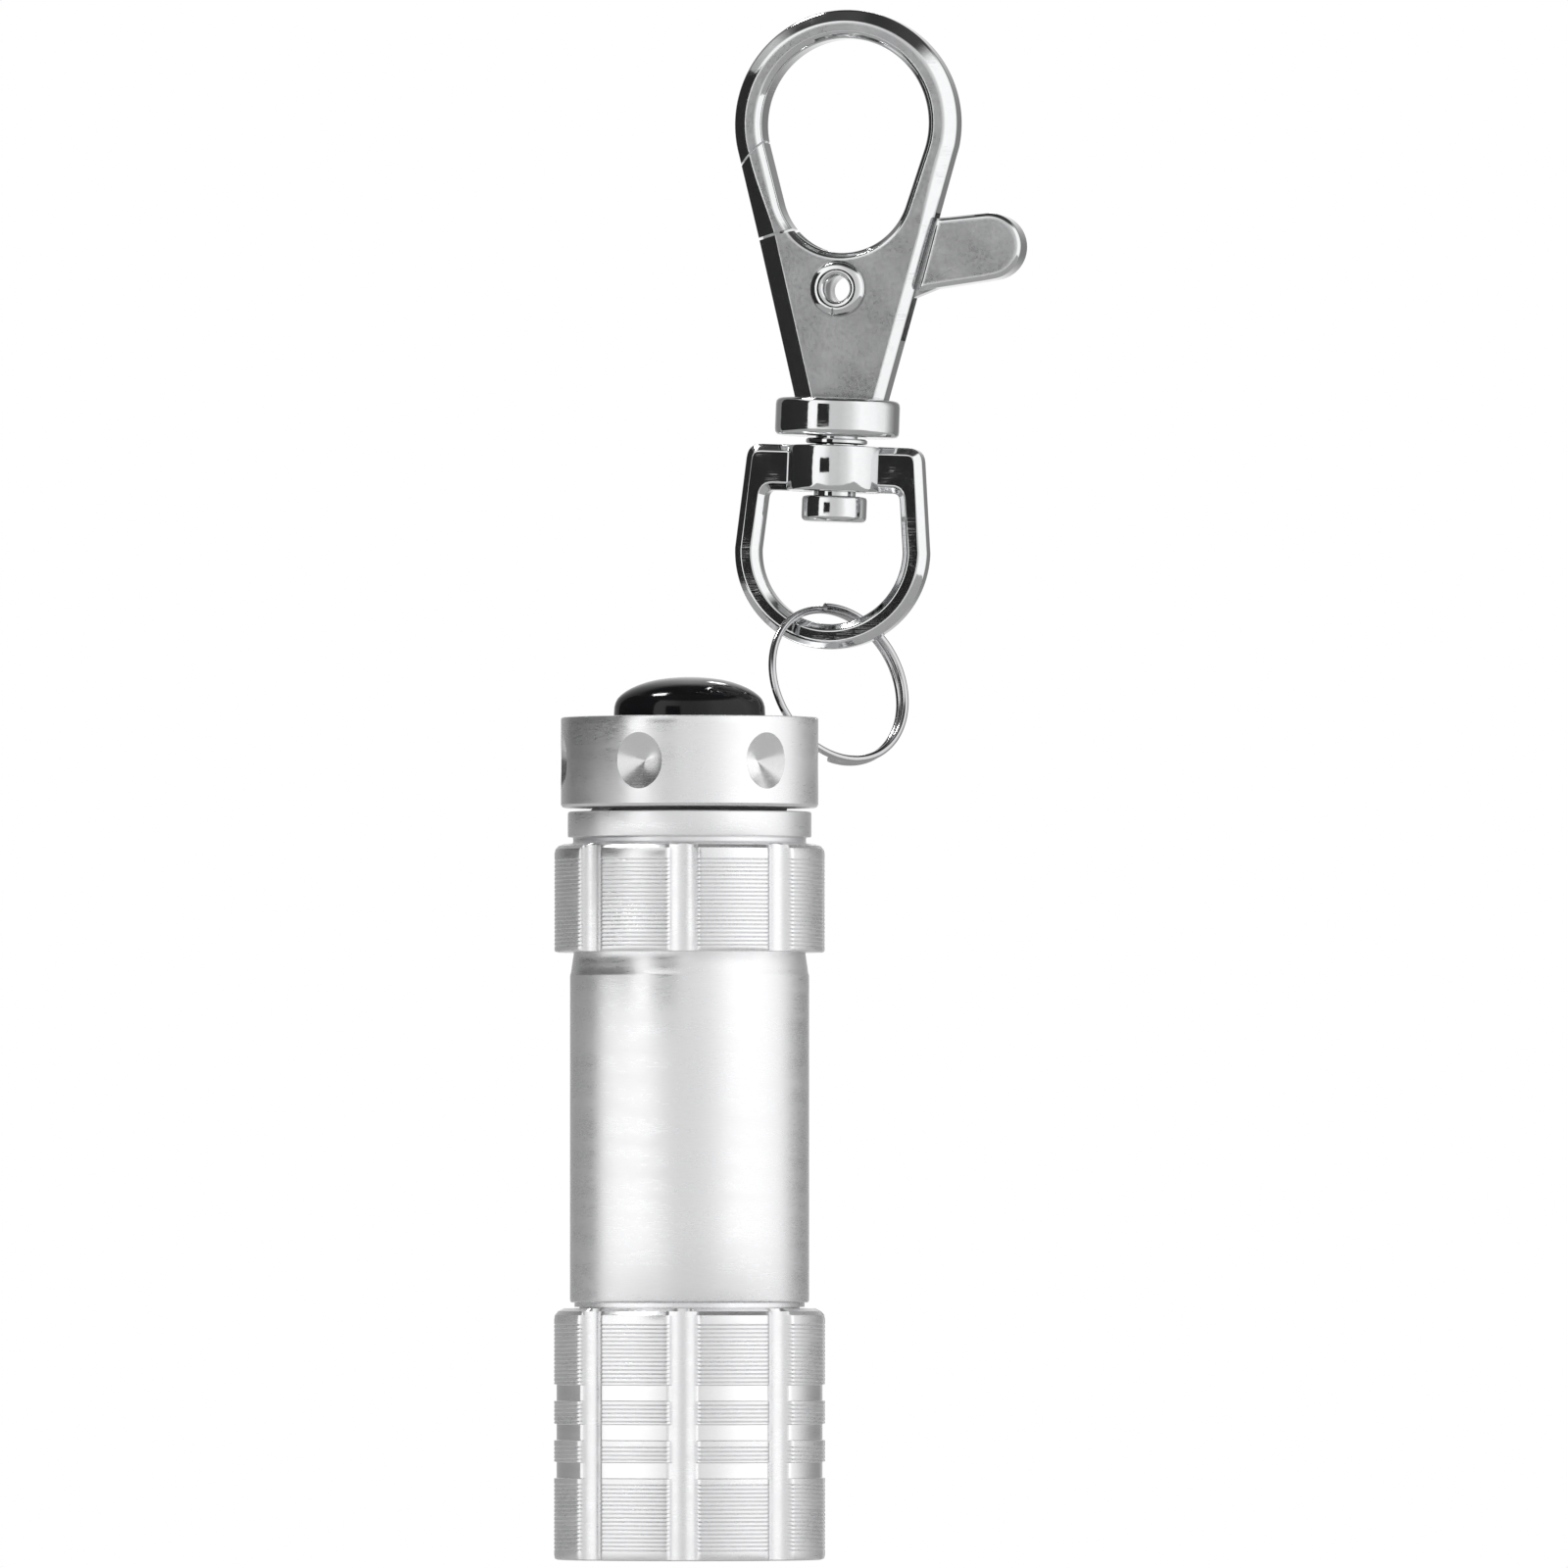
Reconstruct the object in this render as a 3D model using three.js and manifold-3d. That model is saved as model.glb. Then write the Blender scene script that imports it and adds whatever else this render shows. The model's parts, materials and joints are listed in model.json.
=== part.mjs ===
// Keychain flashlight hanging from a swivel trigger clasp. Millimetres, +Z up.
// The origin is the top of the clasp's eye, where the clasp hangs on its owner's ring or loop.
// The torch hangs below with its lens facing down.
import * as THREE from 'three';
import { mergeVertices } from 'three/addons/utils/BufferGeometryUtils.js';
import Module from 'manifold-3d';

const wasm = await Module();
wasm.setup();

const deg = THREE.MathUtils.degToRad;

// ---- Driving dimensions ----

// Clasp: stands in its own axes, x across, y through its thickness, z along it.
const CLASP_LEAN = deg(2.1);
const CLASP_YAW = deg(-13);
const CLASP_THICK = 3.0;
const CLASP_BEVEL = 0.5;
const EYE_R = 6.1;
const EYE_LIMB = 2.05;
const EYE_LOW_R = 4.85;
const EYE_LOW_Z = -10.5;
const PIVOT_Z = -17.95;
const SLOT_WIDE = 1.5;
const SLOT_TOP = -12.3;
const SLOT_FLOOR = -21.5;
const LEVER_PLATE = 1.2;
const LEVER_TAB = 2.6;
const EYELET_R = 1.3;
const EYELET_BORE = 0.95;
const EYELET_FLANGE_R = 2.0;
const RUNNING = 0.08;
const EYELET_ROLL = 0.45;
const GATE_GAP = 0.2;
const TAB_R = 2.38;
const TAB_X = 10.85;
const TAB_Z = -14.58;
const LEVER_SPRING_X = 1.9;
const LEVER_SPRING_FOOT = -24.6;
const LEVER_SPRING_TOP = -20.5;
const COLLAR_R = 4.45;
const COLLAR_TOP = -25.8;
const COLLAR_FOOT = -28.5;
const POST_R = 1.5;
const KNOB_R = 2.33;
const KNOB_TOP = -32.75;
const KNOB_FOOT = -34.6;

// Bow below the swivel.
const BOW_TOP = -29.15;
const BOW_BAR_FOOT = -32.45;
const BOW_R = 7.05;
const BOW_WIRE = 1.8;
const BOW_CENTRE_Z = -36.65;
const BOW_BAR_HALF = 6.35;
const BOW_THICK = 2.1;
const BOW_BEVEL = 0.55;
const BOSS_R = 3.5;

// Split ring: a flat coil of round wire, in a plane set by two directions.
const RING_CENTRE = new THREE.Vector3(-1.0, -1.15, -46.2);
const RING_UP = new THREE.Vector3(-0.48, 0, 0.877).normalize();
const RING_SIDE = new THREE.Vector3(0.657, 0.663, 0.36).normalize();
const RING_R = 5.72;
const RING_WIRE_R = 0.275;
const RING_PITCH = 0.6;
const RING_START = deg(22);
const RING_TURNS = 1.55;
const RING_STEPS = 66;
const RING_SIDES = 8;

// Torch: z is 0 on the lens end's face.
const TORCH_X = -11.55;
const TORCH_Y = -5.15;
const TORCH_FOOT = -108.64;
const TURN_SEGMENTS = 40;
const HEAD_R = 9.7;
const HEAD_LONG = 17.9;
const HEAD_BORE = 7.95;
const BAND_DEEP = 0.18;
const BAND_FOOTS = [5.8, 8.5, 11.3];
const BAND_LONG = 1.2;
const WINDOW_R = 7.0;
const LIP = 0.9;
const FLUTES = 8;
const FLUTE_PHASE = deg(-2.5);
const FLUTE_R = 1.25;
const FLUTE_OUT = 0.5;
const BARREL_R = 8.52;
const BARREL_BORE = 6.45;
const GRIP_R = 9.65;
const GRIP_FOOT = 43.26;
const GRIP_TOP = 50.96;
const NECK_R = 8.68;
const NECK_FOOT = 51.45;
const NECK_TOP = 53.27;
const THREAD_R = 7.15;
const THREAD_CLEAR = 0.1;
const THREAD_FOOT = 48.7;
const O_RING_R = 7.7;
const CAP_R = 9.17;
const CAP_FOOT = 53.55;
const CAP_TOP = 60.0;
const CAP_BORE = 6.3;
const LIP_FOOT = 58.3;
const BUTTON_HOLE_R = 5.6;
const DIMPLES = 6;
const DIMPLE_PHASE = deg(37);
const DIMPLE_Z = 56.8;
const DIMPLE_R = 2.0;
const DIMPLE_DEEP = 1.2;
const RING_HOLE_R = 0.9;
const RING_HOLE_LONG = 8;
const RING_IN_RIM = deg(249);
const CELL_R = 5.8;
const CELL_LONG = 5.4;
const CELL_STEP = 5.5;
const CELLS = 4;
const CELLS_FOOT = 20.9;
const LEDS = 3;
const LED_CIRCLE = 3.7;
const LED_R = 2.5;
const LED_TIP = 4.2;
const LEAD_APART = 1.27;
const BOARD_FOOT = 12.6;
const BOARD_R = 7.7;
const LENS_R = 7.8;
const LENS_FOOT = 0.95;
const LENS_TOP = 2.45;

// Coil springs are drawn with few steps and sides, as they are small.
const COIL_STEPS = 9;
const COIL_SIDES = 5;

// ---- Materials ----

const paint = (color, roughness, metalness) =>
  new THREE.MeshStandardMaterial({ color, roughness, metalness });
const aluminium = paint(0xc9cacc, 0.35, 1);
const chrome = paint(0xd6d7d9, 0.06, 1);
const springSteel = paint(0xb4b6b8, 0.2, 1);
const brass = paint(0xc9a25a, 0.3, 1);
const blackPlastic = paint(0x101011, 0.15, 0);
const greyPlastic = paint(0x3a3b3d, 0.5, 0);
const whitePlastic = paint(0xd8d6cf, 0.5, 0);
const rubber = paint(0x161616, 0.7, 0);
const clear = paint(0xeef4f6, 0.05, 0);
const boardGreen = paint(0x1f5a35, 0.5, 0);

// ---- Shaping ----

function solidOf(geometry) {
  const bare = geometry.clone();
  bare.deleteAttribute('normal');
  bare.deleteAttribute('uv');
  const merged = mergeVertices(bare, 1e-4);
  return new wasm.Manifold(new wasm.Mesh({
    numProp: 3,
    vertProperties: new Float32Array(merged.attributes.position.array),
    triVerts: new Uint32Array(merged.index.array),
  }));
}

function geometryOf(solid) {
  const mesh = solid.getMesh();
  const geometry = new THREE.BufferGeometry();
  geometry.setAttribute('position', new THREE.BufferAttribute(new Float32Array(mesh.vertProperties), 3));
  geometry.setIndex(new THREE.BufferAttribute(new Uint32Array(mesh.triVerts), 1));
  geometry.computeVertexNormals();
  return geometry;
}

// A turned piece: points [r, z] run anticlockwise round the section, on the axis at both ends if it is solid.
function turned(points, segments = TURN_SEGMENTS) {
  const onAxis = points[0][0] === 0;
  const loop = onAxis ? points : [...points, points[0]];
  const outline = loop.map(([r, z]) => new THREE.Vector2(r, z));
  return new THREE.LatheGeometry(outline, segments).rotateX(Math.PI / 2);
}

// A plate drawn in x and z, centred on y = 0, with its front and back edges bevelled.
function plate(shape, thick, bevel = 0) {
  const geometry = new THREE.ExtrudeGeometry(shape, {
    depth: thick - 2 * bevel,
    bevelEnabled: bevel > 0,
    bevelThickness: bevel,
    bevelSize: bevel,
    bevelOffset: -bevel,
    bevelSegments: 1,
    curveSegments: 14,
  });
  return geometry.rotateX(Math.PI / 2).translate(0, thick / 2 - bevel, 0);
}

// A rod along y through (x, z) of the clasp.
function crossRod(radius, long, x, z, sides = 24) {
  return new THREE.CylinderGeometry(radius, radius, long, sides).translate(x, 0, z);
}

function box(low, high) {
  const size = high.map((h, i) => h - low[i]);
  const middle = high.map((h, i) => (h + low[i]) / 2);
  return new THREE.BoxGeometry(...size).translate(...middle);
}

// A coil about z whose radius and height run evenly from one end to the other.
class Coil extends THREE.Curve {
  constructor(startR, endR, footZ, topZ, turns) {
    super();
    Object.assign(this, { startR, endR, footZ, topZ, turns });
  }

  getPoint(t, target = new THREE.Vector3()) {
    const angle = 2 * Math.PI * this.turns * t;
    const radius = THREE.MathUtils.lerp(this.startR, this.endR, t);
    const z = THREE.MathUtils.lerp(this.footZ, this.topZ, t);
    return target.set(radius * Math.cos(angle), radius * Math.sin(angle), z);
  }
}

function wire(curve, radius, steps, sides) {
  const section = new THREE.Shape();
  for (let i = 0; i < sides; i += 1) {
    const angle = (2 * Math.PI * i) / sides;
    const move = i === 0 ? 'moveTo' : 'lineTo';
    section[move](radius * Math.cos(angle), radius * Math.sin(angle));
  }
  return new THREE.ExtrudeGeometry(section, { steps, extrudePath: curve, bevelEnabled: false });
}

function coilSpring(startR, endR, footZ, topZ, turns, wireR) {
  return wire(new Coil(startR, endR, footZ, topZ, turns), wireR, Math.round(turns * COIL_STEPS), COIL_SIDES);
}

function named(name, geometry, material) {
  const mesh = new THREE.Mesh(geometry, material);
  mesh.name = name;
  return mesh;
}

// ---- Clasp: die-cast hook frame, trigger lever, eyelet, swivel rivet ----

// The eye is a large circle over a smaller one, joined by their shared tangents.
const eyeDrop = -EYE_R - EYE_LOW_Z;
const eyeLean = Math.asin((EYE_R - EYE_LOW_R) / eyeDrop);

function eyeHole() {
  const hole = new THREE.Shape();
  hole.absarc(0, -EYE_R, EYE_R, -eyeLean, Math.PI + eyeLean, false);
  hole.absarc(0, EYE_LOW_Z, EYE_LOW_R, Math.PI + eyeLean, 2 * Math.PI - eyeLean, false);
  return hole;
}

function hookOutline() {
  const outer = new THREE.Shape();
  outer.absarc(0, -EYE_R, EYE_R + EYE_LIMB, deg(-10), deg(194), false);
  outer.lineTo(-6.05, -14.6);
  outer.lineTo(-2.95, COLLAR_TOP - 0.4);
  outer.lineTo(3.5, COLLAR_TOP - 0.4);
  return outer;
}

// The gate's stretch of the left limb, between the nose above and the cheeks below.
function gateStretch(gap) {
  const cut = new THREE.Shape();
  cut.moveTo(-9.6, -11.35 + gap);
  cut.lineTo(-5.0, -6.46 + gap);
  cut.lineTo(-1.2, -11.0);
  cut.lineTo(-1.2, -13.2 - gap);
  cut.lineTo(-9.6, -15.7 - gap);
  return cut;
}

// Front, inner and outer edges are chamfered: the outline and the eye's edge are bevelled apart and joined.
function hookFrame() {
  const blank = solidOf(plate(hookOutline(), CLASP_THICK, CLASP_BEVEL));
  const hole = solidOf(plate(eyeHole(), 2 * CLASP_THICK));
  const collar = solidOf(turned([
    [0, COLLAR_FOOT], [COLLAR_R - 0.4, COLLAR_FOOT], [COLLAR_R, COLLAR_FOOT + 0.4],
    [COLLAR_R, COLLAR_TOP - 0.4], [COLLAR_R - 0.4, COLLAR_TOP], [0, COLLAR_TOP],
  ], 36));
  const postHole = new THREE.CylinderGeometry(POST_R + 0.1, POST_R + 0.1, 4, 24)
    .rotateX(Math.PI / 2).translate(0, 0, COLLAR_FOOT + 0.2);
  const slot = box([-12, -SLOT_WIDE / 2, SLOT_FLOOR], [12, SLOT_WIDE / 2, SLOT_TOP]);
  const springPocket = box(
    [LEVER_SPRING_X - 0.8, -SLOT_WIDE / 2, LEVER_SPRING_FOOT - 0.1],
    [LEVER_SPRING_X + 0.8, SLOT_WIDE / 2, SLOT_FLOOR + 0.5],
  );
  return geometryOf(blank
    .subtract(hole)
    .subtract(solidOf(plate(gateStretch(0), 2 * CLASP_THICK)))
    .add(collar)
    .subtract(solidOf(slot))
    .subtract(solidOf(springPocket))
    .subtract(solidOf(postHole))
    .subtract(solidOf(crossRod(EYELET_R + RUNNING, 8, 0, PIVOT_Z))));
}

// The gate closes the eye on the left. The thumb tab stands out on the right, from just clear of the frame.
function triggerLever() {
  const limb = solidOf(plate(hookOutline(), CLASP_THICK, CLASP_BEVEL))
    .subtract(solidOf(plate(eyeHole(), 2 * CLASP_THICK)));
  const gate = limb.intersect(solidOf(plate(gateStretch(-GATE_GAP), 2 * CLASP_THICK)));

  const web = new THREE.Shape();
  web.moveTo(-5.9, -13.9);
  web.lineTo(-5.2, -17.2);
  web.lineTo(-1.6, -20.2);
  web.lineTo(2.6, -20.2);
  web.lineTo(4.9, -18.6);
  web.lineTo(7.9, -17.3);
  web.lineTo(8.2, -12.65);
  web.lineTo(5.2, -13.2);
  web.absarc(0, EYE_LOW_Z, EYE_LOW_R + 0.9, deg(-33), deg(-142), true);

  const tab = new THREE.Shape();
  tab.moveTo(5.75, -17.9);
  tab.lineTo(11.3, -16.92);
  tab.absarc(TAB_X, TAB_Z, TAB_R, deg(-79), deg(97), false);
  tab.lineTo(8.35, -12.52);
  tab.lineTo(6.95, -12.7);

  return geometryOf(gate
    .add(solidOf(plate(web, LEVER_PLATE)))
    .add(solidOf(plate(tab, LEVER_TAB, 0.4)))
    .subtract(solidOf(crossRod(EYELET_R + RUNNING, 8, 0, PIVOT_Z))));
}

// A hollow rivet, rolled over at both faces, with an open bore.
function leverEyelet() {
  const face = CLASP_THICK / 2 + 0.05;
  const section = [
    [EYELET_BORE, -face - 0.3], [1.2, -face - EYELET_ROLL], [1.7, -face - 0.42], [EYELET_FLANGE_R, -face - 0.2],
    [EYELET_FLANGE_R, -face], [EYELET_R, -face], [EYELET_R, face], [EYELET_FLANGE_R, face],
    [EYELET_FLANGE_R, face + 0.2], [1.7, face + 0.42], [1.2, face + EYELET_ROLL], [EYELET_BORE, face + 0.3],
  ];
  return turned(section, 24).rotateX(Math.PI / 2).translate(0, 0, PIVOT_Z);
}

function swivelRivet() {
  return turned([
    [0, KNOB_FOOT], [KNOB_R - 0.3, KNOB_FOOT], [KNOB_R, KNOB_FOOT + 0.3], [KNOB_R, KNOB_TOP - 0.2],
    [KNOB_R - 0.2, KNOB_TOP], [POST_R, KNOB_TOP], [POST_R, BOW_TOP + 0.1], [2.2, BOW_TOP + 0.15],
    [2.2, COLLAR_FOOT - 0.12], [POST_R, COLLAR_FOOT - 0.1], [POST_R, COLLAR_FOOT + 2], [0, COLLAR_FOOT + 2],
  ], 32);
}

// ---- Swivel bow: a D of thick wire under a bar that turns on the rivet ----

function bowOutline(radius, half, top) {
  const outline = new THREE.Shape();
  outline.moveTo(half, top);
  outline.lineTo(-half, top);
  outline.lineTo(-radius, BOW_CENTRE_Z);
  outline.absarc(0, BOW_CENTRE_Z, radius, Math.PI, 2 * Math.PI, false);
  return outline;
}

function swivelBow() {
  const inside = BOW_R - BOW_WIRE;
  const frame = solidOf(plate(bowOutline(BOW_R, BOW_BAR_HALF, BOW_TOP), BOW_THICK, BOW_BEVEL));
  const opening = solidOf(plate(bowOutline(inside, BOW_BAR_HALF - 1.5, BOW_BAR_FOOT), 2 * BOW_THICK));
  const boss = turned([
    [0, BOW_BAR_FOOT], [BOSS_R - 0.15, BOW_BAR_FOOT], [BOSS_R, BOW_BAR_FOOT + 0.15],
    [BOSS_R, BOW_TOP - 0.15], [BOSS_R - 0.15, BOW_TOP], [0, BOW_TOP],
  ], 36);
  const bore = new THREE.CylinderGeometry(POST_R + RUNNING, POST_R + RUNNING, 8, 32)
    .rotateX(Math.PI / 2).translate(0, 0, BOW_BAR_FOOT);
  return geometryOf(frame.subtract(opening).add(solidOf(boss)).subtract(solidOf(bore)));
}

// ---- Split ring ----

class RingCoil extends THREE.Curve {
  getPoint(t, target = new THREE.Vector3()) {
    const turn = RING_TURNS * t;
    const angle = RING_START + 2 * Math.PI * turn;
    const along = RING_PITCH * (turn - RING_TURNS / 2);
    const normal = new THREE.Vector3().crossVectors(RING_UP, RING_SIDE);
    return target.copy(RING_CENTRE)
      .addScaledVector(RING_UP, RING_R * Math.cos(angle))
      .addScaledVector(RING_SIDE, RING_R * Math.sin(angle))
      .addScaledVector(normal, along);
  }
}

const splitRing = () => wire(new RingCoil(), RING_WIRE_R, RING_STEPS, RING_SIDES);

function onRing(angle) {
  return RING_CENTRE.clone()
    .addScaledVector(RING_UP, RING_R * Math.cos(angle))
    .addScaledVector(RING_SIDE, RING_R * Math.sin(angle));
}

// ---- Torch shells ----

function flutes(footZ, topZ) {
  const out = HEAD_R + FLUTE_OUT;
  return Array.from({ length: FLUTES }, (_, i) => {
    const angle = FLUTE_PHASE - Math.PI / 2 + (2 * Math.PI * i) / FLUTES;
    return new THREE.CylinderGeometry(FLUTE_R, FLUTE_R, topZ - footZ, 20)
      .rotateX(Math.PI / 2)
      .translate(out * Math.cos(angle), out * Math.sin(angle), (footZ + topZ) / 2);
  });
}

function fluted(points, footZ, topZ) {
  const cuts = flutes(footZ, topZ);
  return geometryOf(cuts.reduce((body, cut) => body.subtract(solidOf(cut)), solidOf(turned(points))));
}

function head() {
  const bands = BAND_FOOTS.flatMap((z) => [
    [HEAD_R, z], [HEAD_R - BAND_DEEP, z], [HEAD_R - BAND_DEEP, z + BAND_LONG], [HEAD_R, z + BAND_LONG],
  ]);
  return fluted([
    [WINDOW_R, 0], [HEAD_R - 0.35, 0], [HEAD_R, 0.35], ...bands,
    [HEAD_R, HEAD_LONG - 0.8], [HEAD_R - 0.23, HEAD_LONG - 0.24], [HEAD_R - 0.8, HEAD_LONG],
    [HEAD_BORE, HEAD_LONG], [HEAD_BORE, LIP], [WINDOW_R, LIP],
  ], -1, HEAD_LONG + 1);
}

// One turned tube: nose inside the head, plain barrel, fluted grip ring, groove and neck.
function barrel() {
  const mouth = THREAD_R + THREAD_CLEAR;
  const body = solidOf(turned([
    [BARREL_BORE, 14], [HEAD_BORE - 0.1, 14], [HEAD_BORE - 0.1, HEAD_LONG + 0.1], [8.2, HEAD_LONG + 0.1],
    [8.2, 18.3], [BARREL_R, 18.3], [BARREL_R, 41.7], [8.35, 43], [8.2, GRIP_FOOT],
    [GRIP_R, GRIP_FOOT], [GRIP_R, GRIP_TOP - 0.65], [GRIP_R - 0.19, GRIP_TOP - 0.19],
    [GRIP_R - 0.65, GRIP_TOP], [8.3, GRIP_TOP], [8.3, NECK_FOOT], [NECK_R, NECK_FOOT],
    [NECK_R, NECK_TOP], [O_RING_R + 0.05, NECK_TOP], [O_RING_R + 0.05, NECK_TOP - 0.9],
    [mouth, NECK_TOP - 0.9], [mouth, THREAD_FOOT - 1], [BARREL_BORE, THREAD_FOOT - 1],
  ]));
  const ring = solidOf(turned([[8.3, GRIP_FOOT - 0.5], [12, GRIP_FOOT - 0.5], [12, GRIP_TOP + 0.5],
    [8.3, GRIP_TOP + 0.5]]));
  const cuts = flutes(GRIP_FOOT - 0.2, GRIP_TOP + 0.2);
  return geometryOf(cuts.reduce((shape, cut) => shape.subtract(solidOf(cut).intersect(ring)), body));
}

// The hole follows the chord of the ring's arc that lies inside the cap's rim.
function ringHole() {
  const cap = new THREE.Vector3(TORCH_X, TORCH_Y, TORCH_FOOT);
  const middle = onRing(RING_IN_RIM).sub(cap);
  const along = onRing(RING_IN_RIM + deg(32)).sub(onRing(RING_IN_RIM - deg(32))).normalize();
  const turn = new THREE.Quaternion().setFromUnitVectors(new THREE.Vector3(0, 1, 0), along);
  return new THREE.CylinderGeometry(RING_HOLE_R, RING_HOLE_R, RING_HOLE_LONG, 16)
    .applyQuaternion(turn)
    .translate(middle.x, middle.y, middle.z);
}

// Six drilled dimples round the cap. The split ring passes through the one at the clasp's side, by a hole
// drilled down into it from the cap's top.
function tailCap() {
  let body = solidOf(turned([
    [CAP_R - 0.3, CAP_FOOT], [CAP_R, CAP_FOOT + 0.3], [CAP_R, CAP_TOP - 0.15], [CAP_R - 0.15, CAP_TOP],
    [BUTTON_HOLE_R, CAP_TOP], [BUTTON_HOLE_R, LIP_FOOT], [CAP_BORE, LIP_FOOT], [CAP_BORE, THREAD_FOOT],
    [THREAD_R, THREAD_FOOT], [THREAD_R, CAP_FOOT],
  ]));
  const overcut = 1;
  const deep = DIMPLE_DEEP + overcut;
  const mouth = (DIMPLE_R * deep) / DIMPLE_DEEP;
  for (let i = 0; i < DIMPLES; i += 1) {
    const angle = DIMPLE_PHASE - Math.PI / 2 + (2 * Math.PI * i) / DIMPLES;
    const drill = new THREE.ConeGeometry(mouth, deep, 24)
      .rotateZ(Math.PI / 2)
      .translate(CAP_R + overcut - deep / 2, 0, 0)
      .rotateZ(angle)
      .translate(0, 0, DIMPLE_Z);
    body = body.subtract(solidOf(drill));
  }
  return geometryOf(body.subtract(solidOf(ringHole())));
}

// ---- Switch in the cap ----

function pushButton() {
  return turned([
    [0, 56.9], [1.3, 56.9], [1.3, 60.4], [4.3, 60.2], [4.5, 57.35], [6.1, 57.35], [6.1, 58.15],
    [5.43, 58.15], [5.4, 60.07], [5.37, 60.7], [5.23, 61.2], [4.8, 61.78], [3.95, 62.28],
    [2.66, 62.64], [1.3, 62.83], [0, 62.89],
  ], 32);
}

function switchPlunger() {
  return turned([[0, 54.1], [2.6, 54.1], [2.6, 54.85], [1.9, 54.85], [1.9, 56.7], [0, 56.7]], 28);
}

function switchHousing() {
  return turned([
    [1.2, 49.95], [6.2, 49.95], [6.2, 55.9], [2.05, 55.9], [2.05, 55], [3.2, 55], [3.2, 50.8], [1.2, 50.8],
  ], 28);
}

function switchContact() {
  return turned([[0, 49.5], [3, 49.5], [3, 49.8], [0.9, 49.8], [0.9, 51.2], [0, 51.2]], 24);
}

// A thin threaded ring with two slots for a pin spanner.
function retainingRing() {
  const ring = solidOf(turned([[3.4, 48.85], [6.2, 48.85], [6.2, 49.8], [3.4, 49.8]], 36));
  const slots = box([-7, -0.5, 48], [7, 0.5, 49.25]);
  return geometryOf(ring.subtract(solidOf(slots)));
}

function oRing() {
  const foot = NECK_TOP - 0.82;
  const inside = THREAD_R + 0.05;
  const mid = (inside + O_RING_R) / 2;
  return turned([
    [mid, foot], [O_RING_R, foot + 0.2], [O_RING_R, foot + 0.55], [mid, foot + 0.75],
    [inside, foot + 0.55], [inside, foot + 0.2],
  ]);
}

// ---- Light unit and cells ----

function led(index) {
  const angle = Math.PI / 2 + (2 * Math.PI * index) / LEDS;
  const dome = [0, 15, 30, 45, 60, 75, 90].map((a) => [
    LED_R * Math.sin(deg(a)), LED_TIP + LED_R - LED_R * Math.cos(deg(a)),
  ]);
  const lamp = solidOf(turned([
    ...dome, [LED_R, 10.8], [2.9, 10.8], [2.9, 11.8], [0, 11.8],
  ], 20));
  const leads = [-LEAD_APART, LEAD_APART].map((x) => solidOf(
    new THREE.CylinderGeometry(0.25, 0.25, 2.6, 8).rotateX(Math.PI / 2).translate(x, 0, 12.7),
  ));
  return geometryOf(leads.reduce((a, b) => a.add(b), lamp))
    .translate(LED_CIRCLE * Math.cos(angle), LED_CIRCLE * Math.sin(angle), 0);
}

function drilledDisc(points, cutAt) {
  let body = solidOf(turned(points, 32));
  for (let i = 0; i < LEDS; i += 1) {
    const angle = Math.PI / 2 + (2 * Math.PI * i) / LEDS;
    const x = LED_CIRCLE * Math.cos(angle);
    const y = LED_CIRCLE * Math.sin(angle);
    cutAt.forEach((cut) => {
      body = body.subtract(solidOf(cut.clone().translate(x, y, 0)));
    });
  }
  return geometryOf(body);
}

function ledBoard() {
  const leadHoles = [-LEAD_APART, LEAD_APART].map((x) => new THREE.CylinderGeometry(0.5, 0.5, 4, 10)
    .rotateX(Math.PI / 2).translate(x, 0, BOARD_FOOT));
  return drilledDisc(
    [[0, BOARD_FOOT], [BOARD_R, BOARD_FOOT], [BOARD_R, BOARD_FOOT + 1], [0, BOARD_FOOT + 1]],
    leadHoles,
  );
}

function reflector() {
  const cup = turned([[0, 2], [3.2, 2], [2.62, 8], [2.62, 12], [0, 12]], 20);
  return drilledDisc([[0, 3], [7.85, 3], [7.85, 10.5], [0, 10.5]], [cup]);
}

function cell(index) {
  const foot = CELLS_FOOT + CELL_STEP * index;
  const top = foot + CELL_LONG;
  return turned([
    [0, foot], [4.6, foot], [4.6, foot + 0.35], [5.4, foot + 0.35], [CELL_R, foot + 0.75], [CELL_R, top - 0.2],
    [CELL_R - 0.2, top], [0, top],
  ], 20);
}

// ---- Assembly ----

const clasp = new THREE.Group();
clasp.rotation.set(0, CLASP_LEAN, CLASP_YAW, 'YXZ');
clasp.add(
  named('hook_frame', hookFrame(), chrome),
  named('trigger_lever', triggerLever(), chrome),
  named('lever_eyelet', leverEyelet(), chrome),
  named('lever_spring', coilSpring(0.5, 0.5, LEVER_SPRING_FOOT + 0.2, LEVER_SPRING_TOP, 5, 0.12)
    .translate(LEVER_SPRING_X, 0, 0), springSteel),
  named('swivel_rivet', swivelRivet(), chrome),
  named('swivel_bow', swivelBow(), chrome),
);

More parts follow.
